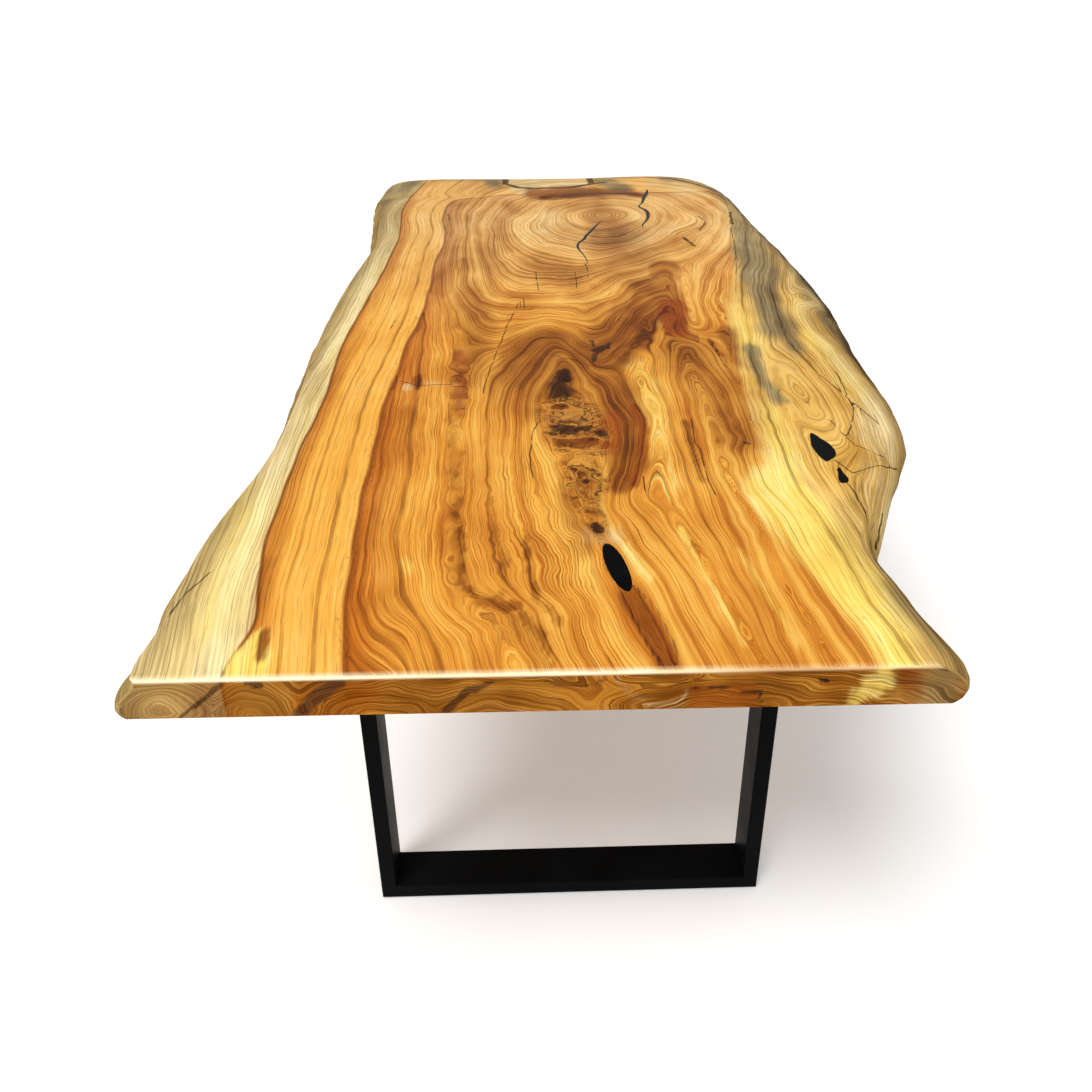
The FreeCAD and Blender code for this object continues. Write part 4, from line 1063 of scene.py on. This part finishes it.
    def burl(self, grain: Grain, ground: Socket) -> tuple[Socket, Socket, Socket]:
        """Lays the burl's small eyes with their rims over the colours.

        Args:
            grain: The grain's sockets.
            ground: The colour below.

        Returns:
            The colour, where there is burl, and the distance from its eyes.
        """
        graph = grain.graph
        shake = graph.node("ShaderNodeTexNoise")
        graph.fill(shake, Vector=grain.place, Scale=24.0, Detail=3.0)
        bent = graph.node("ShaderNodeVectorMath", operation="MULTIPLY_ADD")
        for socket, value in zip(bent.inputs, (shake.outputs["Color"], (0.07, 0.05, 0.05), grain.place)):
            graph.feed(socket, value)
        eyes = graph.node("ShaderNodeTexVoronoi", feature="SMOOTH_F1")
        graph.fill(eyes, Vector=bent.outputs[0], Scale=self.eyes_per_metre)
        eye = eyes.outputs["Distance"]
        circle = graph.math("FRACT", graph.blend(((eye, 5.0), (grain.fibre, 0.6))))
        rims = graph.times(graph.ease(circle, 0.58, 0.92), graph.ease(circle, 1.0, 0.95))
        stops = tuple((place, tint(code)) for place, code in self.burl_stops)
        colour = graph.ramp(graph.add(eye, graph.times(grain.fibre, 0.45), -0.22), stops)
        colour = graph.mix(graph.times(rims, 0.95), colour, tint(self.burl_line))
        broken = graph.ease(graph.noise(grain.place, 26.0), 0.36, 0.55, 0.5, 1.0)
        mask = graph.ease(graph.add(graph.trait(Trait.BURL), graph.times(grain.ragged, 0.9)), 0.25, 0.9)
        mask = graph.times(mask, broken)
        return graph.mix(graph.times(mask, 0.95), ground, colour), mask, eye

    def drawing(self, grain: Grain, ground: Socket) -> tuple[Socket, Socket]:
        """Draws the growth lines, pores, knots and cracks, and a painted highlight along the sawn end's upper edge.

        Args:
            grain: The grain's sockets.
            ground: The colour below.

        Returns:
            The colour, and where there are cracks.
        """
        graph = grain.graph
        wild, sawn = graph.trait(Trait.WILD), graph.trait(Trait.SAWN)
        strength = graph.add(self.line_strength, graph.times(wild, 0.1), graph.times(sawn, 0.1))
        ground = graph.mix(graph.times(grain.lines, strength), ground, tint(self.line), "MULTIPLY")
        ground = graph.mix(graph.times(grain.pores, self.pore_strength), ground, tint(self.line), "MULTIPLY")
        dark = graph.math("MULTIPLY_ADD", graph.centred(grain.fibre), 0.6, graph.trait(Trait.DARK))
        knots = graph.times(graph.ease(dark, 0.28, 0.62), 0.88)
        ground = graph.mix(knots, ground, self.shades(grain, self.dark))
        off = graph.math("ABSOLUTE", graph.add(graph.trait(Trait.CRACK), graph.times(grain.quick, 0.006)))
        gaps = graph.ease(graph.noise(grain.place, 30.0), 0.26, 0.44)
        crack = graph.times(graph.ease(off, 0.0003, 0.0017, 0.9, 0.0), gaps, graph.trait(Trait.CRACK_ON))
        ground = graph.mix(crack, ground, tint(self.crack))
        # Painted highlight: a pale cream line along the sawn end's upper edge, strongest on the left and fading
        # towards the right
        highlight_share = graph.times(graph.trait(Trait.ARRIS_HIGHLIGHT), graph.ease(grain.across, 0.02, 0.20, 0.9, 0.3))
        return graph.mix(highlight_share, ground, self.shades(grain, self.arris_highlight)), crack

    def build(self) -> bpy.types.Material:
        """Builds the wood's material, layer over layer."""
        material, graph, shader = new_material(self.name)
        grain = self.grain(graph)
        ground = self.skin(grain, self.marks(grain, self.zones(grain)))
        ground, burl, eye = self.burl(grain, ground)
        ground, crack = self.drawing(grain, ground)
        graph.feed(shader.inputs["Base Color"], ground)
        graph.feed(shader.inputs["Roughness"], graph.blend(((grain.fibre, 0.12), (burl, 0.05)), 0.32))
        shader.inputs["Specular IOR Level"].default_value = 0.0
        bare = graph.math("MAXIMUM", graph.trait(Trait.SIDE), graph.times(graph.trait(Trait.SAWN), 0.8))
        graph.feed(shader.inputs["Coat Weight"], graph.times(graph.math("SUBTRACT", 1.0, bare), self.coat))
        shader.inputs["Coat Roughness"].default_value = self.coat_roughness
        dents = ((grain.fibre, 0.35), (grain.lines, -0.2), (graph.times(eye, burl), 0.8), (crack, -1.5))
        graph.feed(shader.inputs["Normal"], graph.bump(graph.blend(dents), 0.25, self.relief))
        return material


# Meshes


def ordered_loops(edges: list[bmesh.types.BMEdge]) -> list[Field]:
    """Walks loose edges into closed loops.

    Args:
        edges: Edges of one or more closed outlines.

    Returns:
        Each loop's points as rows of x and y, longest loop first.
    """
    left = set(edges)
    loops = []
    while left:
        edge = left.pop()
        first, spot = edge.verts
        walk = [first, spot]
        while spot is not first:
            edge = next((other for other in spot.link_edges if other in left), None)
            if edge is None:
                break
            left.remove(edge)
            spot = edge.other_vert(spot)
            walk.append(spot)
        loops.append(np.array([vert.co[:2] for vert in walk[:-1]], float))
    return sorted(loops, key=lambda loop: -np.ptp(loop, axis=0).sum())


def of_kind(items: list, kind: type) -> list:
    """Picks the items of one kind, such as edges, out of an operator's result."""
    return [item for item in items if isinstance(item, kind)]


def merged_copy(node: str) -> bmesh.types.BMesh:
    """Copies a CAD node's mesh and merges its loose triangles."""
    copy = bmesh.new()
    copy.from_mesh(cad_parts[node].data)
    bmesh.ops.remove_doubles(copy, verts=copy.verts, dist=1e-6)
    return copy


def new_object(name: str, mesh: bmesh.types.BMesh) -> bpy.types.Object:
    """Makes an object of a finished mesh and frees the mesh."""
    data = bpy.data.meshes.new(name)
    mesh.to_mesh(data)
    mesh.free()
    made = bpy.data.objects.new(name, data)
    bpy.context.scene.collection.objects.link(made)
    return made


@dataclass
class Slab:
    """The live edge slab: the CAD solid's outlines, meshed finely enough to carry its figure."""

    figure: Figure
    cells_across: int = 168
    cells_along: int = 384
    coarser: int = 4
    heights: tuple[float, ...] = (49.98, 49.3, 47.8, 46.6, 45.2, 40, 34, 28, 21, 14, 7, 2, 0.02)
    ripple: float = 1.3 * MM
    ripple_fade: int = 8
    under_inset: float = 0.008
    cutter_lift: float = 2 * MM
    hole_clearance: float = 0.05 * MM
    hole_sides: int = 32
    hole_depth: float = 1.2
    bolts_per_leg: int = 4
    sharp_angle: float = math.radians(32)

    def rim(self, solid: bmesh.types.BMesh, level: float) -> Field:
        """Slices the CAD solid and spaces points evenly along its four sides.

        Args:
            solid: The merged CAD mesh.
            level: Height of the slice.

        Returns:
            Points from the near left corner round by the right, as rows of x and y.
        """
        cut = solid.copy()
        every = cut.verts[:] + cut.edges[:] + cut.faces[:]
        sliced = bmesh.ops.bisect_plane(
            cut, geom=every, plane_co=(0, 0, level), plane_no=(0, 0, 1), clear_inner=True, clear_outer=True
        )
        loop = ordered_loops(of_kind(sliced["geom_cut"], bmesh.types.BMEdge))[0]
        cut.free()
        ahead = np.roll(loop, -1, axis=0)
        if np.sum(loop[:, 0] * ahead[:, 1] - ahead[:, 0] * loop[:, 1]) < 0:
            loop = loop[::-1]
        loop = np.roll(loop, -int(np.argmin(loop.sum(1))), axis=0)
        x, y = loop.T
        corners = [0, int(np.argmax(x - y)), int(np.argmax(x + y)), int(np.argmin(x - y)), len(loop)]
        closed = np.vstack([loop, loop[:1]])
        counts = (self.cells_across, self.cells_along) * 2
        sides = []
        for start, end, count in zip(corners[:-1], corners[1:], counts):
            run = closed[start:end + 1]
            way = np.concatenate([[0], np.cumsum(np.hypot(*np.diff(run, axis=0).T))])
            steps = np.linspace(0, way[-1], count + 1)[:-1]
            sides.append(np.stack([np.interp(steps, way, run[:, axis]) for axis in (0, 1)], 1))
        return np.vstack(sides)

    def patch(self, rim: Field, across: Field, along: Field) -> Field:
        """Spreads a rim's four sides over the face inside it.

        Args:
            rim: The rim's points.
            across: Shares across the face, from its left side.
            along: Shares along the face, from its near side.

        Returns:
            Places inside the rim as rows of x and y.
        """
        wide, tall = self.cells_across, self.cells_along
        closed = np.vstack([rim, rim[:1]])
        near = closed[:wide + 1]
        right = closed[wide:wide + tall + 1]
        far = closed[wide + tall:2 * wide + tall + 1][::-1]
        left = closed[2 * wide + tall:][::-1]

        def at(side: Field, share: Field) -> Field:
            """Gives the places at shares along one side."""
            spots = np.linspace(0, 1, len(side))
            return np.stack([np.interp(share, spots, side[:, axis]) for axis in (0, 1)], 1)

        u, v = across[:, None], along[:, None]
        ruled = (1 - v) * at(near, across) + v * at(far, across) + (1 - u) * at(left, along) + u * at(right, along)
        corners = (1 - u) * (1 - v) * near[0] + u * (1 - v) * near[-1] + (1 - u) * v * far[0] + u * v * far[-1]
        return ruled - corners

    def grid(
        self, mesh: bmesh.types.BMesh, rim: Field, wide: int, tall: int, level: float, inset: float
    ) -> list[bmesh.types.BMVert]:
        """Adds a grid of quads inside a rim.

        Args:
            mesh: The mesh that the grid is added to.
            rim: The rim's points.
            wide: Cells across the grain.
            tall: Cells along the grain.
            level: The grid's height.
            inset: Share of the face that is left free along the rim.

        Returns:
            The grid's vertices.
        """
        made = bmesh.ops.create_grid(mesh, x_segments=wide, y_segments=tall, size=0.5)["verts"]
        shares = np.array([vert.co[:2] for vert in made]) + 0.5
        inner = inset + (1 - 2 * inset) * shares
        for vert, (x, y) in zip(made, self.patch(rim, inner[:, 0], inner[:, 1])):
            vert.co = (x, y, level)
        rim_index = mesh.verts.layers.int["rim"]
        for vert, (across, along) in zip(made, shares):
            i, j = round(across * wide), round(along * tall)
            if j == 0:
                vert[rim_index] = 1 + i
            elif i == wide:
                vert[rim_index] = 1 + wide + j
            elif j == tall:
                vert[rim_index] = 1 + wide + tall + (wide - i)
            elif i == 0:
                vert[rim_index] = 1 + 2 * wide + tall + (tall - j)
        return made

    def rippled(self, rim: Field, height: float) -> Field:
        """Moves a rim's natural sides in and out, as the wood below the bark is."""
        tangent = np.roll(rim, -1, axis=0) - np.roll(rim, 1, axis=0)
        tangent /= np.linalg.norm(tangent, axis=1)[:, None]
        outward = np.stack([tangent[:, 1], -tangent[:, 0]], 1)
        place = np.arange(len(rim)) * 6.0
        level = np.full(len(rim), height)
        waves = wobble(place * 0.12, level, 16, 0.7) + 0.8 * wobble(place * 0.35, level, 30, 2.9)
        steps = np.arange(len(rim))
        natural = smooth(self.cells_across, self.cells_across + self.ripple_fade, steps)
        natural *= smooth(len(rim), len(rim) - self.ripple_fade, steps)
        fade = smooth(0, 4, height) * smooth(50, 44, height)
        return rim + outward * (waves * natural * fade * self.ripple)[:, None]

    def build(self) -> bpy.types.Object:
        """Meshes the slab, cuts its pockets and writes its figure."""
        low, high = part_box("slab_top")
        solid = merged_copy("slab_top")
        rims = [self.rim(solid, low.z + height * MM) for height in self.heights]
        solid.free()
        mesh = bmesh.new()
        rim_index = mesh.verts.layers.int.new("rim")
        self.grid(mesh, rims[0], self.cells_across, self.cells_along, high.z, 0.0)
        edge_loop = [edge for edge in mesh.edges if edge.is_boundary]
        for height, rim in zip(self.heights[1:], rims[1:]):
            moved = self.rippled(rim, height)
            level = low.z if height < 0.1 else low.z + height * MM
            drawn = bmesh.ops.extrude_edge_only(mesh, edges=edge_loop)["geom"]
            for vert in of_kind(drawn, bmesh.types.BMVert):
                vert.co = (*moved[vert[rim_index] - 1], level)
            edge_loop = [edge for edge in of_kind(drawn, bmesh.types.BMEdge) if edge.is_boundary]
        wide, tall = self.cells_across // self.coarser, self.cells_along // self.coarser
        drawn = bmesh.ops.extrude_edge_only(mesh, edges=edge_loop)["geom"]
        under = self.grid(mesh, rims[-1], wide, tall, low.z, self.under_inset)
        inner = {vert[rim_index] - 1: vert for vert in under if vert[rim_index]}
        joined = {
            vert: inner[round((vert[rim_index] - 1) / self.coarser) % len(inner)]
            for vert in of_kind(drawn, bmesh.types.BMVert)
        }
        bmesh.ops.weld_verts(mesh, targetmap=joined)
        bmesh.ops.recalc_face_normals(mesh, faces=mesh.faces)
        slab = new_object("live_edge_slab", mesh)
        self.cut_pockets(slab)
        self.write_figure(slab.data, rims)
        return slab

    def cut_pockets(self, slab: bpy.types.Object) -> None:
        """Cuts the pockets of the poured fills and the holes of the threaded inserts."""
        cutter = bmesh.new()
        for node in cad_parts:
            if node.startswith("resin_fill"):
                fill = merged_copy(node)
                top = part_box(node)[1].z
                raised = [vert for vert in fill.verts if vert.co.z > top - 0.1 * MM]
                bmesh.ops.translate(fill, verts=raised, vec=(0, 0, self.cutter_lift))
                part = bpy.data.meshes.new(node)
                fill.to_mesh(part)
                fill.free()
                cutter.from_mesh(part)
                bpy.data.meshes.remove(part)
        for node in ("near_thread_inserts", "far_thread_inserts"):
            low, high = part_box(node)
            radius = (high.y - low.y) / 2
            wide = radius + self.hole_clearance
            depth = (high.z - low.z) * self.hole_depth
            for index in range(self.bolts_per_leg):
                share = index / (self.bolts_per_leg - 1)
                across = low.x + radius + (high.x - low.x - 2 * radius) * share
                middle = Vector((across, (low.y + high.y) / 2, low.z + depth / 2 - MM))
                bmesh.ops.create_cone(
                    cutter, cap_ends=True, segments=self.hole_sides, radius1=wide, radius2=wide,
                    depth=depth + 2 * MM, matrix=Matrix.Translation(middle),
                )
        bmesh.ops.recalc_face_normals(cutter, faces=cutter.faces)
        tool = new_object("pocket_cutter", cutter)
        cut = slab.modifiers.new("pockets", "BOOLEAN")
        cut.operation = "DIFFERENCE"
        cut.solver = "MANIFOLD"
        cut.object = tool
        bpy.context.view_layer.update()
        shaped = slab.evaluated_get(bpy.context.evaluated_depsgraph_get())
        finished = bpy.data.meshes.new_from_object(shaped)
        slab.modifiers.clear()
        slab.data = finished
        bpy.data.objects.remove(tool)

    def from_edge(self, rim: Field, x: Field, y: Field) -> Field:
        """Measures how far places are from a rim's sides, leaving out the sawn near one, in metres."""
        natural = rim[self.cells_across:]
        tree = KDTree(len(natural))
        for index, spot in enumerate(natural):
            tree.insert((*spot, 0), index)
        tree.balance()
        return np.array([tree.find((*spot, 0))[2] for spot in zip(x, y)])

    def write_figure(self, mesh: bpy.types.Mesh, rims: list[Field]) -> None:
        """Writes the figure's traits to a finished mesh and sets its shading.

        Args:
            mesh: The slab's finished mesh.
            rims: The slab's outlines, from its top face down.
        """
        low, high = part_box("slab_top")
        spots = np.zeros(len(mesh.vertices) * 3, np.float32)
        mesh.vertices.foreach_get("co", spots)
        x, y, z = spots.reshape(-1, 3).astype(float).T
        across = x / MM - self.figure.origin[0]
        along = y / MM - self.figure.origin[1]
        depth = (high.z - z) / MM
        height = (z - low.z) / MM
        near_left, near_right = rims[len(rims) // 2][[0, self.cells_across]]
        slope = (near_right[1] - near_left[1]) / (near_right[0] - near_left[0])
        behind = (y - near_left[1] - slope * (x - near_left[0])) / MM
        sawn = smooth(3.5, 0.6, behind) * smooth(0.5, 3.5, depth)
        under = smooth(49.5, 49.9, depth)
        levels = self.figure.levels(across, along)
        traits = {
            Trait.GROWTH: self.figure.growth(levels, across, along) + 0.8 * depth,
            Trait.SAWN: sawn,
            Trait.SIDE: smooth(0.5, 12, depth) * (1 - sawn) * (1 - under),
            Trait.EDGE: self.from_edge(rims[0], x, y),
            # Share of the painted highlight, over the sawn end's rounded upper edge
            Trait.ARRIS_HIGHLIGHT: smooth(6.0, 3.8, behind) * smooth(3.9, 2.4, depth),
            **self.figure.boundaries(across, along),
            **self.figure.crack_lines(across, along),
        }
        traits[Trait.CRACK_ON] = traits[Trait.CRACK_ON] * (1 - under)
        ended = self.figure.end_growth(across, height) * 1.4
        traits[Trait.GROWTH] = (traits[Trait.GROWTH] * (1 - sawn) + ended * sawn) * MM
        for trait in MARKS:
            top = marked(TOP_STROKES, trait, across, along)
            end = marked(END_STROKES, trait, across, height)
            if trait is Trait.BROWN:
                top = np.maximum(top, self.figure.heartwood(levels, across, along))
            if trait in (Trait.DARK, Trait.BURL, Trait.RED):
                top = top * (1 - 0.8 * under)
            traits[trait] = top * (1 - sawn) + end * sawn
        for trait, values in traits.items():
            layer = mesh.attributes.new(trait.value, "FLOAT", "POINT")
            layer.data.foreach_set("value", np.ascontiguousarray(values, np.float32))
        mesh.shade_smooth()
        mesh.set_sharp_from_angle(angle=self.sharp_angle)

    def dress(self, slab: bpy.types.Object, finish: bpy.types.Material) -> None:
        """Gives the slab its finish and its place in the frame."""
        slab.data.materials.clear()
        slab.data.materials.append(finish)
        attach(slab, "root")
        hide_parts("slab_top")


@dataclass(frozen=True)
class Fittings:
    """The CAD nodes that show as they are: legs, resin, fasteners and pads."""

    finishes: tuple[tuple[str, PlainFinish], ...] = (
        ("resin_fill", PlainFinish(
            "poured_black_resin", "#020202", "#060607", (0.10, 0.2),
            specular=0.01, grit_scale=300.0, drift_scale=30.0, relief=0.00002,
        )),
        ("_leg_", PlainFinish(
            "satin_black_leg_paint", "#08090a", "#0f1113", (0.34, 0.46),
            specular=0.02, grit_scale=1400.0, relief=0.00004,
        )),
        ("_bolts", PlainFinish(
            "zinc_plated_bolts", "#8a8c8e", "#b9bbbd", (0.22, 0.38), metallic=1.0, grit_scale=1800.0, relief=0.00002,
        )),
        ("_washers", PlainFinish(
            "zinc_plated_washers", "#8f9193", "#bcbec0", (0.25, 0.4), metallic=1.0, grit_scale=1600.0, relief=0.00002,
        )),
        ("_thread_inserts", PlainFinish(
            "brass_inserts", "#9a7a35", "#c9a557", (0.25, 0.4), metallic=1.0, grit_scale=1500.0, relief=0.00002,
        )),
        ("_floor_pads", PlainFinish(
            "grey_felt", "#3a3a3a", "#5a5a58", (0.85, 0.98), grit_scale=700.0, drift_scale=60.0, relief=0.0006,
        )),
    )

    def dress(self, grit: bpy.types.NodeTree) -> None:
        """Gives every shown CAD node its finish."""
        for word, finish in self.finishes:
            material = finish.build(grit)
            for name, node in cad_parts.items():
                if word in name:
                    for slot in node.material_slots:
                        slot.material = material
                    LOG.info("%s shows its CAD shape in %s", name, finish.name)


# Stage, light and camera


@dataclass(frozen=True)
class Studio:
    """White floor, soft light and the photograph's camera."""

    image_size: float = 1092.0
    focal_pixels: float = 1080.0
    sensor: float = 36.0
    yaw: float = 0.0174681
    pitch: float = 0.5381022
    roll: float = 0.0141568
    eye: Triple = (-0.08477, -2.07989, 1.45191)
    floor_half: float = 60.0
    low_sky: float = 0.14
    high_sky: float = 0.60
    sun_strength: float = 2.15
    sun_angle: float = math.radians(24)
    sun_heading: Triple = (0.37, 0.54, -1.0)
    strip_power: float = 20.0
    strip_spot: Triple = (-0.7, -2.7, 2.9)
    strip_aim: Triple = (-0.1, -1.18, 0.75)
    strip_sides: Spot = (2.2, 0.10)
    floor_lift: float = 0.21

    def add_floor(self) -> None:
        """Lays the floor, which shows white to the camera and keeps the table's shadow."""
        mesh = bmesh.new()
        bmesh.ops.create_grid(mesh, x_segments=8, y_segments=8, size=self.floor_half)
        floor = new_object("floor", mesh)
        material, graph, shader = new_material("white_floor")
        grain = graph.noise(graph.place(), 3.0, 2.0)
        graph.feed(shader.inputs["Base Color"], graph.ramp(grain, ((0.3, tint("#ebebeb")), (0.7, tint("#eeeeee")))))
        shader.inputs["Roughness"].default_value = 1.0
        shader.inputs["Specular IOR Level"].default_value = 0.0
        shader.inputs["Emission Color"].default_value = (1, 1, 1, 1)
        graph.feed(shader.inputs["Emission Strength"], graph.times(graph.shown(), self.floor_lift))
        floor.data.materials.append(material)

    def add_world(self) -> None:
        """Sets a white sky that lights softly, mostly from above, and shows white."""
        world = bpy.data.worlds.new("studio")
        bpy.context.scene.world = world
        world.use_nodes = True
        graph = Graph(world.node_tree)
        ground = next(node for node in world.node_tree.nodes if node.type == "BACKGROUND")
        ground.inputs["Color"].default_value = (1, 1, 1, 1)
        heading = graph.node("ShaderNodeSeparateXYZ")
        graph.feed(heading.inputs[0], graph.node("ShaderNodeTexCoord").outputs["Generated"])
        sky = graph.ease(heading.outputs[2], 0.0, 0.9, self.low_sky, self.high_sky)
        graph.feed(ground.inputs["Strength"], graph.math("MAXIMUM", sky, graph.shown()))

    @staticmethod
    def hang(lamp: bpy.types.Light, heading: Vector) -> bpy.types.Object:
        """Hangs a lamp that shines along a heading."""
        holder = bpy.data.objects.new(lamp.name, lamp)
        holder.rotation_euler = heading.to_track_quat("-Z", "Y").to_euler()
        bpy.context.scene.collection.objects.link(holder)
        return holder

    def add_sun(self) -> None:
        """Adds a broad even light."""
        lamp = bpy.data.lights.new("sun", "SUN")
        lamp.energy = self.sun_strength
        lamp.angle = self.sun_angle
        self.hang(lamp, Vector(self.sun_heading))

    def add_strip(self) -> None:
        """Adds a strip of light that brightens the sawn end's upper edge."""
        lamp = bpy.data.lights.new("strip", "AREA")
        lamp.shape = "RECTANGLE"
        lamp.size, lamp.size_y = self.strip_sides
        lamp.energy = self.strip_power
        holder = self.hang(lamp, Vector(self.strip_aim) - Vector(self.strip_spot))
        holder.location = self.strip_spot

    def add_camera(self) -> None:
        """Stands the camera where the photograph was taken from."""
        forward = Vector((
            math.sin(self.yaw) * math.cos(self.pitch),
            math.cos(self.yaw) * math.cos(self.pitch),
            -math.sin(self.pitch),
        ))
        level = Vector((math.cos(self.yaw), -math.sin(self.yaw), 0.0))
        down = forward.cross(level)
        right = math.cos(self.roll) * level + math.sin(self.roll) * down
        lower = -math.sin(self.roll) * level + math.cos(self.roll) * down
        turn = Matrix((right, -lower, -forward)).transposed().to_4x4()
        lens = bpy.data.cameras.new("camera")
        lens.sensor_fit = "HORIZONTAL"
        lens.sensor_width = self.sensor
        lens.lens = self.sensor * self.focal_pixels / self.image_size
        lens.clip_end = 200.0
        camera = bpy.data.objects.new("camera", lens)
        camera.matrix_world = Matrix.Translation(self.eye) @ turn
        bpy.context.scene.collection.objects.link(camera)
        bpy.context.scene.camera = camera

    def build(self) -> None:
        """Sets the whole stage."""
        self.add_floor()
        self.add_world()
        self.add_sun()
        self.add_strip()
        self.add_camera()
        bpy.context.scene.view_settings.view_transform = "Standard"


def main() -> None:
    """Builds the table's looks and the studio."""
    logging.basicConfig(level=logging.INFO)
    grit = grit_group()
    slab = Slab(Figure())
    board = slab.build()
    slab.dress(board, WoodFinish().build())
    board.data.calc_loop_triangles()
    LOG.info("%s replaces slab_top with %d triangles", board.name, len(board.data.loop_triangles))
    Fittings().dress(grit)
    Studio().build()


if __name__ == "__main__":
    main()
